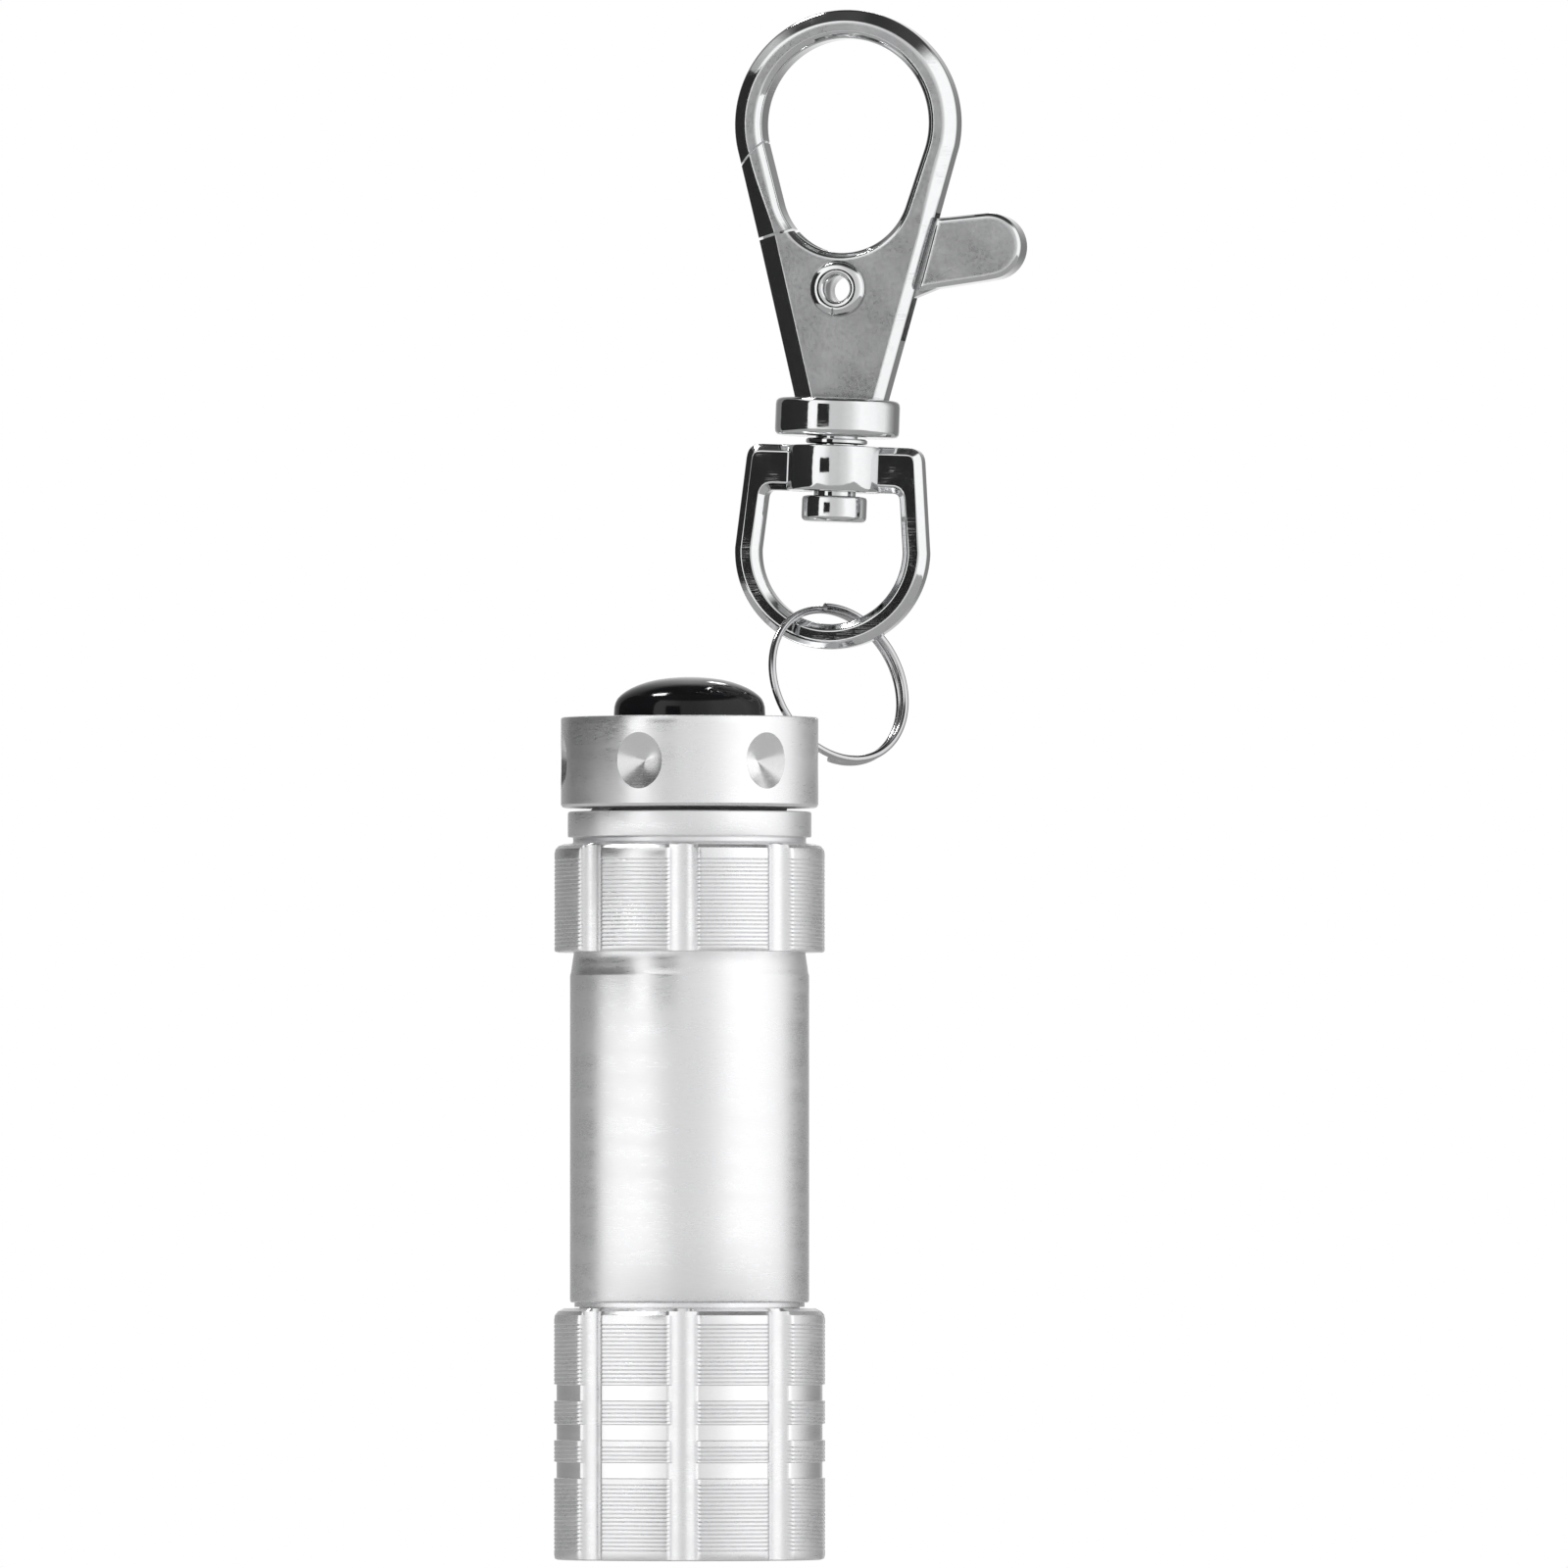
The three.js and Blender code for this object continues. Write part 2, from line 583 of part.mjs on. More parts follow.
const torch = new THREE.Group();
torch.position.set(TORCH_X, TORCH_Y, TORCH_FOOT);
torch.add(
  named('head', head(), aluminium),
  named('barrel', barrel(), aluminium),
  named('tail_cap', tailCap(), aluminium),
  named('push_button', pushButton(), blackPlastic),
  named('switch_plunger', switchPlunger(), whitePlastic),
  named('switch_housing', switchHousing(), greyPlastic),
  named('return_spring', coilSpring(2, 2, 51.05, 53.85, 3, 0.18), springSteel),
  named('switch_contact', switchContact(), brass),
  named('switch_retaining_ring', retainingRing(), brass),
  named('battery_spring', coilSpring(4.2, 2.4, 43.25, 49.15, 5, 0.3), springSteel),
  named('cap_o_ring', oRing(), rubber),
  named('lens', turned([[0, LENS_FOOT], [LENS_R, LENS_FOOT], [LENS_R, LENS_TOP], [0, LENS_TOP]], 32), clear),
  named('lens_gasket', turned([
    [7.05, LENS_TOP + 0.05], [LENS_R, LENS_TOP + 0.05], [LENS_R, 2.95], [7.05, 2.95],
  ], 32), rubber),
  named('reflector', reflector(), chrome),
  named('led_board', ledBoard(), boardGreen),
  named('contact_carrier', turned([[2.4, 14.4], [6.35, 14.4], [6.35, 18.3], [2.4, 18.3]], 28), whitePlastic),
  named('front_contact_spring', coilSpring(1.6, 1.6, 14.05, 20.6, 5, 0.22), springSteel),
  named('battery_sleeve', turned([[5.95, 18.6], [6.35, 18.6], [6.35, 43], [5.95, 43]], 28), greyPlastic),
);
for (let i = 0; i < LEDS; i += 1) {
  torch.add(named(`led_${i + 1}`, led(i), clear));
}
for (let i = 0; i < CELLS; i += 1) {
  torch.add(named(`cell_${i + 1}`, cell(i), springSteel));
}

const flashlight = new THREE.Group();
flashlight.add(clasp, torch, named('split_ring', splitRing(), springSteel));

export default flashlight;
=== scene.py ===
import json
import math

import bmesh
import bpy
from mathutils import Matrix, Vector


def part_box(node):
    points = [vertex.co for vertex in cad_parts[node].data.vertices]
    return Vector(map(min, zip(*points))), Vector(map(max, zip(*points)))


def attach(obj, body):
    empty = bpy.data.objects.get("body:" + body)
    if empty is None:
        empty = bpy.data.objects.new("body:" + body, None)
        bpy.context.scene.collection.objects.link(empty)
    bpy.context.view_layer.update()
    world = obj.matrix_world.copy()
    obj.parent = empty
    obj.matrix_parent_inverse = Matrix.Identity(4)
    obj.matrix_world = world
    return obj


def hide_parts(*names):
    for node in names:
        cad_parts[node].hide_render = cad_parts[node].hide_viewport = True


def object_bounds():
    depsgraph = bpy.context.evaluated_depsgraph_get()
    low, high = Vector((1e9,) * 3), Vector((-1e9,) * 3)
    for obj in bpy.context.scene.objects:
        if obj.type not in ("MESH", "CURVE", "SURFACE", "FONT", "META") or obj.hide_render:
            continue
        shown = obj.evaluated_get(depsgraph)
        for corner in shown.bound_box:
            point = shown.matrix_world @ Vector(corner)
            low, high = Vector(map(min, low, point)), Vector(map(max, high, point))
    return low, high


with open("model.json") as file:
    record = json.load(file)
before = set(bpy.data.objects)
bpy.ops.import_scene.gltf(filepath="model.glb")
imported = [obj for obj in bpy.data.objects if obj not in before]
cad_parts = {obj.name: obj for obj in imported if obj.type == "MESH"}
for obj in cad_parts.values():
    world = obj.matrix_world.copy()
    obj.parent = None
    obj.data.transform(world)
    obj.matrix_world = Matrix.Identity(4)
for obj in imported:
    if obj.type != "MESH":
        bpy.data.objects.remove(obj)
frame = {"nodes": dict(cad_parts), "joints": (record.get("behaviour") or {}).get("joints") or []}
cad_low, cad_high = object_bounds()
joints = {joint["name"]: joint for joint in frame["joints"]}


# ---- Head ----
# The head is a turned aluminium sleeve that holds the light unit and screws over the barrel's nose.
# Its wall has fine turning grooves, three bright-cut bands and eight flutes milled along it.
torch_axis = Vector(joints["barrel_turn"]["pos_m"])
torch_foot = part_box("head")[0].z
torch_place = Matrix.Translation((torch_axis.x, torch_axis.y, torch_foot)) @ Matrix.Scale(0.001, 4)
head_r = 9.67
flute_circle = 10.2
flute_r = 1.25
flute_half_angle = math.radians(6.6)
flute_phase = math.radians(-92.5)


def turned(profile, steps, closed=True):
    """Spins (radius, height) points in millimetres about z into a skin."""
    bm = bmesh.new()
    points = [bm.verts.new((r, 0, z)) for r, z in profile]
    ends = list(zip(points, points[1:]))
    if closed:
        ends.append((points[-1], points[0]))
    edges = [bm.edges.new(pair) for pair in ends]
    bmesh.ops.spin(bm, geom=points + edges, axis=(0, 0, 1), cent=(0, 0, 0), angle=math.tau, steps=steps,
                   use_merge=True)
    bmesh.ops.remove_doubles(bm, verts=bm.verts, dist=0.0005)
    bmesh.ops.recalc_face_normals(bm, faces=bm.faces)
    return bm


def grooved_wall(radius, low, high):
    """Wall points with a shallow V groove at each turning pitch."""
    pitch, depth, half = 0.29, 0.05, 0.06
    points = []
    for i in range(int((high - low) / pitch)):
        z = low + (i + 0.5) * pitch
        points += [(radius, z - half), (radius - depth, z), (radius, z + half)]
    return points


def soft_lower(a, b, blend=0.04):
    """The lower of two radii, with the corner between them rubbed round."""
    near = max(blend - abs(a - b), 0) / blend
    return min(a, b) - near * near * blend / 4


def mill_flutes(bm, low, high):
    """Crowds the skin's lines into the flutes, then presses each point there back to the cutter's circle."""
    sector = math.tau / 8
    for vert in bm.verts:
        radius = math.hypot(vert.co.x, vert.co.y)
        angle = math.atan2(vert.co.y, vert.co.x)
        nearest = round((angle - flute_phase) / sector) * sector + flute_phase
        away = (angle - nearest) / (sector / 2)
        share = abs(away) / 0.4
        if share <= 1:
            turn = share * flute_half_angle
        else:
            turn = flute_half_angle + (abs(away) - 0.4) / 0.6 * (sector / 2 - flute_half_angle)
        turn = math.copysign(turn, away)
        if radius > 8.75 and low <= vert.co.z <= high:
            across = flute_circle * math.sin(turn)
            if abs(across) < flute_r:
                cutter = flute_circle * math.cos(turn) - math.sqrt(flute_r ** 2 - across ** 2)
                radius = soft_lower(radius, cutter)
        vert.co.x = radius * math.cos(nearest + turn)
        vert.co.y = radius * math.sin(nearest + turn)


def piece(bm, name, place, materials, body, nodes, sharp=24):
    """Makes the finished piece, smooth but for its sharp edges, and fixes it to its body."""
    for face in bm.faces:
        face.smooth = True
    for edge in bm.edges:
        edge.smooth = len(edge.link_faces) == 2 and edge.calc_face_angle() < math.radians(sharp)
    bm.transform(place)
    mesh = bpy.data.meshes.new(name)
    bm.to_mesh(mesh)
    bm.free()
    made = bpy.data.objects.new(name, mesh)
    bpy.context.scene.collection.objects.link(made)
    for material in materials:
        mesh.materials.append(material)
    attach(made, body)
    if nodes:
        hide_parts(*nodes)
    return made


def node_tree_group(name, inputs, outputs):
    """An empty shader node group with float, colour or vector sockets."""
    tree = bpy.data.node_groups.new(name, "ShaderNodeTree")
    for label, kind, value in inputs:
        socket = tree.interface.new_socket(label, in_out="INPUT", socket_type="NodeSocket" + kind)
        if value is not None:
            socket.default_value = value
    for label, kind in outputs:
        tree.interface.new_socket(label, in_out="OUTPUT", socket_type="NodeSocket" + kind)
    return tree


def node(tree, kind, inputs=(), **settings):
    """Adds a node, sets its properties, and links or sets its inputs."""
    made = tree.nodes.new("ShaderNode" + kind)
    for key, value in settings.items():
        setattr(made, key, value)
    for key, value in dict(inputs).items():
        if isinstance(value, bpy.types.NodeSocket):
            tree.links.new(value, made.inputs[key])
        else:
            made.inputs[key].default_value = value
    return made


# Grain, blotches and hairline scratches of a worked surface: every hard finish here is made from it.
worked = node_tree_group(
    "worked_surface",
    [("Place", "Vector", None), ("Color", "Color", (0.8, 0.8, 0.8, 1)), ("Tone", "Float", 0.1),
     ("Grain", "Float", 20000.0), ("Blotch", "Float", 400.0), ("Roughness", "Float", 0.3),
     ("Spread", "Float", 0.1), ("Scratch", "Float", 0.3)],
    [("Color", "Color"), ("Roughness", "Float"), ("Height", "Float")],
)
entry = worked.nodes.new("NodeGroupInput")
leave = worked.nodes.new("NodeGroupOutput")
grain = node(worked, "TexNoise", {"Vector": entry.outputs["Place"], "Scale": entry.outputs["Grain"], "Detail": 3.0})
blotch = node(worked, "TexNoise", {"Vector": entry.outputs["Place"], "Scale": entry.outputs["Blotch"], "Detail": 4.0})
drawn = node(worked, "Mapping", {"Vector": entry.outputs["Place"], "Scale": (600.0, 600.0, 9000.0),
                                 "Rotation": (0.5, 0.9, 0.3)})
hairs = node(worked, "TexVoronoi", {"Vector": drawn.outputs["Vector"], "Scale": 0.7, "Randomness": 1.0},
             feature="DISTANCE_TO_EDGE")
hair = node(worked, "MapRange", {"Value": hairs.outputs["Distance"], "From Min": 0.0, "From Max": 0.02,
                                 "To Min": 1.0, "To Max": 0.0})
hair_here = node(worked, "MapRange", {"Value": blotch.outputs["Fac"], "From Min": 0.5, "From Max": 0.68,
                                      "To Min": 0.0, "To Max": 1.0})
hair_mask = node(worked, "Math", {0: hair.outputs["Result"], 1: hair_here.outputs["Result"]}, operation="MULTIPLY")
hair_amount = node(worked, "Math", {0: hair_mask.outputs[0], 1: entry.outputs["Scratch"]}, operation="MULTIPLY")
both = node(worked, "Math", {0: grain.outputs["Fac"], 1: blotch.outputs["Fac"]}, operation="ADD")
centred = node(worked, "Math", {0: both.outputs[0], 1: 1.0}, operation="SUBTRACT")
tone = node(worked, "Math", {0: centred.outputs[0], 1: entry.outputs["Tone"], 2: 1.0}, operation="MULTIPLY_ADD")
toned = node(worked, "VectorMath", {0: entry.outputs["Color"], "Scale": tone.outputs[0]}, operation="SCALE")
rough = node(worked, "Math", {0: centred.outputs[0], 1: entry.outputs["Spread"], 2: entry.outputs["Roughness"]},
             operation="MULTIPLY_ADD")
rough_worn = node(worked, "Math", {0: hair_amount.outputs[0], 1: 0.25, 2: rough.outputs[0]},
                  operation="MULTIPLY_ADD", use_clamp=True)
height = node(worked, "Math", {0: grain.outputs["Fac"], 1: hair_amount.outputs[0]}, operation="SUBTRACT")
worked.links.new(toned.outputs["Vector"], leave.inputs["Color"])
worked.links.new(rough_worn.outputs[0], leave.inputs["Roughness"])
worked.links.new(height.outputs[0], leave.inputs["Height"])


def finish_of(name, color, metallic, roughness, spread, tone, grain_scale, blotch_scale, bump, stretch=(1, 1, 1),
              scratch=0.3, coat=0.0):
    """A hard material: the worked surface feeding a Principled shader."""
    material = bpy.data.materials.new(name)
    material.use_nodes = True
    tree = material.node_tree
    shader = tree.nodes["Principled BSDF"]
    place = node(tree, "TexCoord")
    laid = node(tree, "Mapping", {"Vector": place.outputs["Object"], "Scale": stretch})
    group = tree.nodes.new("ShaderNodeGroup")
    group.node_tree = worked
    tree.links.new(laid.outputs["Vector"], group.inputs["Place"])
    group.inputs["Color"].default_value = (*color, 1)
    group.inputs["Tone"].default_value = tone
    group.inputs["Grain"].default_value = grain_scale
    group.inputs["Blotch"].default_value = blotch_scale
    group.inputs["Roughness"].default_value = roughness
    group.inputs["Spread"].default_value = spread
    group.inputs["Scratch"].default_value = scratch
    relief = node(tree, "Bump", {"Height": group.outputs["Height"], "Strength": bump[0], "Distance": bump[1]})
    tree.links.new(group.outputs["Color"], shader.inputs["Base Color"])
    tree.links.new(group.outputs["Roughness"], shader.inputs["Roughness"])
    tree.links.new(relief.outputs["Normal"], shader.inputs["Normal"])
    shader.inputs["Metallic"].default_value = metallic
    shader.inputs["Coat Weight"].default_value = coat
    return material


satin_aluminium = finish_of("satin_aluminium", (0.93, 0.93, 0.94), 0.85, 0.31, 0.24, 0.09, 5000, 350,
                            (0.12, 0.00001), stretch=(0.25, 0.25, 2.2), scratch=0.12)
bright_cut = finish_of("bright_cut_aluminium", (0.98, 0.98, 0.98), 1.0, 0.3, 0.1, 0.06, 3000, 500,
                       (0.1, 0.00001), stretch=(0.2, 0.2, 3))

band_feet = (5.8, 8.5, 11.3)
head_wall = [(7.0, 0.12), (7.12, 0), (9.4, 0), (9.62, 0.09), (head_r, 0.35)]
lathe_stop = 0.6
for band in band_feet:
    head_wall += grooved_wall(head_r, lathe_stop, band - 0.03)
    head_wall += [(head_r, band), (head_r - 0.16, band + 0.03), (head_r - 0.18, band + 0.06),
                  (head_r - 0.18, band + 1.14), (head_r - 0.16, band + 1.17), (head_r, band + 1.2)]
    lathe_stop = band + 1.24
head_wall += grooved_wall(head_r, lathe_stop, 17.05)
head_wall += [(head_r, 17.1), (9.62, 17.42), (9.38, 17.7), (8.95, 17.9), (7.97, 17.9), (7.95, 17.88), (7.95, 0.9),
              (7.0, 0.9)]
head = turned(head_wall, 320)
mill_flutes(head, 0, 17.9)
for face in head.faces:
    middle = face.calc_center_median()
    in_band = any(band + 0.04 < middle.z < band + 1.16 for band in band_feet)
    if in_band and abs(math.hypot(middle.x, middle.y) - head_r + 0.18) < 0.012:
        face.material_index = 1
piece(head, "head_shell", torch_place, [satin_aluminium, bright_cut], "barrel", ["head"])


# ---- Lens and its gasket ----
# A clear acrylic disc lies behind the head's lip, on a black rubber ring that seals and cushions it.
clear = bpy.data.materials.new("clear_acrylic")
clear.use_nodes = True
clear_shader = clear.node_tree.nodes["Principled BSDF"]
clear_shader.inputs["Base Color"].default_value = (0.97, 0.985, 0.99, 1)
clear_shader.inputs["Transmission Weight"].default_value = 1.0
clear_shader.inputs["Metallic"].default_value = 0.0
clear_shader.inputs["IOR"].default_value = 1.49
smears = node(clear.node_tree, "TexNoise",
              {"Vector": node(clear.node_tree, "TexCoord").outputs["Object"], "Scale": 700.0, "Detail": 5.0})
haze = node(clear.node_tree, "MapRange", {"Value": smears.outputs["Fac"], "To Min": 0.0, "To Max": 0.07})
clear.node_tree.links.new(haze.outputs["Result"], clear_shader.inputs["Roughness"])

piece(turned([(0, 0.95), (7.65, 0.95), (7.8, 1.1), (7.8, 2.3), (7.65, 2.45), (0, 2.45)], 160, closed=False),
      "lens_disc", torch_place, [clear], "barrel", ["lens"])

black_rubber = finish_of("black_rubber", (0.022, 0.022, 0.023), 0.0, 0.62, 0.2, 0.35, 6000, 900, (0.5, 0.00003))
piece(turned([(7.12, 2.5), (7.73, 2.5), (7.8, 2.57), (7.8, 2.88), (7.73, 2.95), (7.12, 2.95), (7.05, 2.88),
              (7.05, 2.57)], 128), "lens_gasket_ring", torch_place, [black_rubber], "barrel", ["lens_gasket"])


# ---- Reflector, LEDs and their board ----
# A moulded disc with three metallised cups sits over three clear epoxy lamps, soldered to one board.
# Each lamp is a domed cylinder with a collar, and its die stands on a small steel post inside.
lamp_circle = 3.7
lamp_turns = [math.pi / 2 + i * math.tau / 3 for i in range(3)]


def cut(bm, tools, operation="DIFFERENCE"):
    """Cuts, joins or keeps what tools share with bm, through Blender's boolean."""
    def loose(part, name):
        mesh = bpy.data.meshes.new(name)
        part.to_mesh(mesh)
        part.free()
        made = bpy.data.objects.new(name, mesh)
        bpy.context.scene.collection.objects.link(made)
        return made

    stock = loose(bm, "stock")
    cutters = [loose(tool, "cutter") for tool in tools]
    for cutter in cutters:
        step = stock.modifiers.new("cut", "BOOLEAN")
        step.object = cutter
        step.operation = operation
        step.solver = "MANIFOLD"
    bpy.context.view_layer.update()
    result = stock.evaluated_get(bpy.context.evaluated_depsgraph_get()).to_mesh()
    made = bmesh.new()
    made.from_mesh(result)
    for loose_object in [stock, *cutters]:
        mesh = loose_object.data
        bpy.data.objects.remove(loose_object)
        bpy.data.meshes.remove(mesh)
    bmesh.ops.remove_doubles(made, verts=made.verts, dist=0.0005)
    return made


def moved(bm, *steps):
    """Transforms a bmesh by each matrix in turn, and returns it."""
    for step in steps:
        bm.transform(step)
    return bm


def lamp_place(turn):
    """Where a lamp stands on the lamps' circle."""
    return Matrix.Translation((lamp_circle * math.cos(turn), lamp_circle * math.sin(turn), 0))


mirror_coat = finish_of("metallised_plastic", (0.93, 0.93, 0.94), 1.0, 0.06, 0.04, 0.04, 2500, 900, (0.08, 0.00001))
cup = [(0, 2.6), (3.45, 2.6), (3.22, 3.0), (3.12, 3.6), (2.98, 4.8), (2.8, 6.4), (2.66, 8.0), (2.66, 11.0), (0, 11.0)]
reflector = cut(
    turned([(0, 3.0), (7.7, 3.0), (7.85, 3.15), (7.85, 10.5), (0, 10.5)], 128, closed=False),
    [moved(turned(cup, 96, closed=False), lamp_place(turn)) for turn in lamp_turns],
)
piece(reflector, "reflector_disc", torch_place, [mirror_coat], "barrel", ["reflector"])

epoxy = clear.copy()
epoxy.name = "lamp_epoxy"
lamp_post = finish_of("lamp_post_steel", (0.6, 0.6, 0.6), 1.0, 0.3, 0.2, 0.1, 4000, 900, (0.2, 0.00001))
phosphor = finish_of("lamp_phosphor", (0.85, 0.7, 0.12), 0.0, 0.6, 0.2, 0.15, 8000, 2000, (0.3, 0.00002))
dome = [(2.5 * math.sin(math.radians(a)), 6.7 - 2.5 * math.cos(math.radians(a))) for a in range(0, 91, 9)]
for number, turn in enumerate(lamp_turns, 1):
    lamp = turned([*dome, (2.5, 10.8), (2.9, 10.8), (2.9, 11.8), (0, 11.8)], 64, closed=False)
    piece(lamp, f"led_{number}_body", torch_place @ lamp_place(turn), [epoxy], "barrel", [f"led_{number}"])
    post = turned([(0, 7.6), (0.35, 7.6), (0.75, 7.25), (0.85, 7.3), (0.85, 8.2), (0.45, 8.6), (0.45, 11.5),
                   (0, 11.5)], 32, closed=False)
    piece(post, f"led_{number}_post", torch_place @ lamp_place(turn), [lamp_post], "barrel", [])
    die = turned([(0, 7.3), (0.3, 7.3), (0.55, 7.4), (0.6, 7.55), (0, 7.58)], 32, closed=False)
    piece(die, f"led_{number}_die", torch_place @ lamp_place(turn), [phosphor], "barrel", [])


def repaint(names, material):
    """Gives carried-over CAD nodes their finish."""
    for name in names:
        slots = frame["nodes"][name].data.materials
        slots.clear()
        slots.append(material)


solder_mask = finish_of("green_board", (0.02, 0.16, 0.06), 0.0, 0.35, 0.1, 0.2, 2500, 600, (0.2, 0.00002))
repaint(["led_board"], solder_mask)


# ---- Barrel and what it holds ----
# One turned tube: a nose that the head screws over, a plain satin wall, a grooved and fluted grip ring and a neck.
# Inside it, a contact carrier with a coil spring and four stacked button cells lie in an insulating sleeve.
barrel_r, grip_r, neck_r = 8.52, 9.65, 8.68
barrel_wall = [
    (6.45, 14), (7.85, 14), (7.85, 18.0), (8.2, 18.0), (8.2, 18.3), (8.4, 18.31), (8.49, 18.38), (barrel_r, 18.52),
    (barrel_r, 24), (barrel_r, 30), (barrel_r, 36), (barrel_r, 41.55), (8.5, 41.68), (8.46, 41.78), (8.4, 42.2),
    (8.33, 42.7), (8.26, 43.1), (8.28, 43.26), (9.5, 43.26), (9.6, 43.3), (grip_r, 43.42),
    *grooved_wall(grip_r, 43.55, 50.2), (grip_r, 50.31), (9.57, 50.6), (9.36, 50.83), (9.0, 50.96), (8.5, 50.96),
    (8.36, 51.0), (8.3, 51.1), (8.3, 51.35), (8.36, 51.45), (8.6, 51.45), (8.66, 51.48), (neck_r, 51.56),
    (neck_r, 53.15), (8.64, 53.23), (8.55, 53.27), (7.8, 53.27), (7.75, 53.22), (7.75, 52.37), (7.25, 52.37),
    (7.25, 47.7), (6.45, 47.7),
]
barrel = turned(barrel_wall, 320)
mill_flutes(barrel, 43.2, 51.0)
piece(barrel, "barrel_tube", torch_place, [satin_aluminium], "barrel", ["barrel"])

spring_steel = finish_of("spring_steel", (0.62, 0.62, 0.63), 1.0, 0.16, 0.1, 0.08, 6000, 900, (0.2, 0.00001))
nickel_can = finish_of("nickel_plated_can", (0.66, 0.65, 0.62), 1.0, 0.24, 0.12, 0.08, 5000, 700, (0.2, 0.00001))
natural_plastic = finish_of("natural_moulding", (0.76, 0.74, 0.68), 0.0, 0.45, 0.1, 0.06, 5000, 500, (0.25, 0.00002))
grey_plastic = finish_of("grey_moulding", (0.06, 0.06, 0.065), 0.0, 0.42, 0.1, 0.15, 5000, 500, (0.25, 0.00002))
repaint(["cell_1", "cell_2", "cell_3", "cell_4"], nickel_can)
repaint(["front_contact_spring", "battery_spring", "return_spring"], spring_steel)
repaint(["contact_carrier", "switch_plunger"], natural_plastic)
repaint(["battery_sleeve", "switch_housing"], grey_plastic)


# ---- Tail cap and its seal ----
# The cap is turned like the barrel and screws into its mouth on a threaded spigot, against a rubber ring.
# Six dimples are drilled round its rim for grip, and a hole through one of them takes the split ring.
cap_r, spigot_r = 9.17, 6.88
ring_centre = Vector(joints["torch_swing"]["pos_m"]) * 1000
ring_normal = Vector(joints["torch_swing"]["axis"]).normalized()
ring_up = Vector((ring_normal.z, 0, -ring_normal.x)).normalized()
ring_side = ring_normal.cross(ring_up)
ring_r = 5.72
in_rim = math.radians(249)

cap_wall = [
    (8.92, 53.55), (9.06, 53.6), (cap_r, 53.78), *[(cap_r, 54.2 + 0.4 * i) for i in range(14)], (cap_r, 59.86),
    (9.13, 59.95), (9.03, 60.0), (5.7, 60.0), (5.62, 59.97), (5.6, 59.9), (5.6, 58.3), (6.3, 58.3), (6.3, 48.7),
    (6.7, 48.7), (spigot_r, 48.9), (spigot_r, 53.3), (7.0, 53.55),
]
dimple = [(0, 0), (0.04, 0.024), (0.2, 0.12), (0.6, 0.36), (1.2, 0.72), (1.9, 1.14), (2.4, 1.44), (0, 1.44)]
dimple_cut = finish_of("dimple_cut_aluminium", (0.95, 0.95, 0.955), 0.9, 0.24, 0.1, 0.06, 4000, 500,
                       (0.1, 0.00001))
dimple_turns = [math.radians(-53) + i * math.tau / 6 for i in range(6)]
drills = [
    moved(turned(dimple, 96, closed=False),
          Matrix.Rotation(turn, 4, "Z") @ Matrix.Translation((cap_r - 1.2, 0, 56.8))
          @ Matrix.Rotation(math.pi / 2, 4, "Y"))
    for turn in dimple_turns
]
torch_origin = Vector((torch_axis.x, torch_axis.y, torch_foot)) * 1000
hole_middle = ring_centre + ring_r * (math.cos(in_rim) * ring_up + math.sin(in_rim) * ring_side) - torch_origin
hole_along = (-math.sin(in_rim) * ring_up + math.cos(in_rim) * ring_side).normalized()
ring_drill = bmesh.new()
bmesh.ops.create_cone(ring_drill, cap_ends=True, segments=48, radius1=0.9, radius2=0.9, depth=8)
moved(ring_drill, hole_along.to_track_quat("Z", "Y").to_matrix().to_4x4(), Matrix.Translation(hole_middle))
cap = cut(turned(cap_wall, 256), [*drills, ring_drill])
for face in cap.faces:
    middle = face.calc_center_median()
    radius = math.hypot(middle.x, middle.y)
    if 7.6 < radius < cap_r - 0.015 and abs(middle.z - 56.8) < 2.05 and face.normal.z < 0.95:
        face.material_index = 1
piece(cap, "tail_cap_shell", torch_place, [satin_aluminium, dimple_cut], "cap", ["tail_cap"])

thread = bmesh.new()
flank = [thread.verts.new(point) for point in ((6.8, 0, -0.3), (7.1, 0, -0.06), (7.1, 0, 0.06), (6.8, 0, 0.3))]
ridge = [thread.edges.new((flank[i - 1], flank[i])) for i in range(4)]
thread_turns, thread_pitch, turn_steps = 5.6, 0.75, 72
bmesh.ops.spin(thread, geom=flank + ridge, axis=(0, 0, 1), cent=(0, 0, 0), angle=thread_turns * math.tau,
               steps=int(thread_turns * turn_steps), dvec=(0, 0, thread_pitch / turn_steps))
bmesh.ops.holes_fill(thread, edges=thread.edges, sides=4)
bmesh.ops.recalc_face_normals(thread, faces=thread.faces)
piece(thread, "tail_cap_thread", torch_place @ Matrix.Translation((0, 0, 49.15)), [satin_aluminium], "cap", [])

seal_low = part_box("cap_o_ring")[0].z * 1000 - torch_foot * 1000
seal = bmesh.new()
bmesh.ops.create_circle(seal, cap_ends=False, segments=20, radius=0.26)
moved(seal, Matrix.Rotation(math.pi / 2, 4, "X"), Matrix.Translation((7.45, 0, seal_low + 0.38)))
bmesh.ops.spin(seal, geom=seal.verts[:] + seal.edges[:], axis=(0, 0, 1), cent=(0, 0, 0), angle=math.tau, steps=128,
               use_merge=True)
bmesh.ops.recalc_face_normals(seal, faces=seal.faces)
piece(seal, "seal_ring", torch_place, [black_rubber], "seal", ["cap_o_ring"])

turned_brass = finish_of("turned_brass", (0.72, 0.52, 0.24), 1.0, 0.25, 0.12, 0.08, 5000, 700, (0.2, 0.00001))
repaint(["switch_contact", "switch_retaining_ring"], turned_brass)


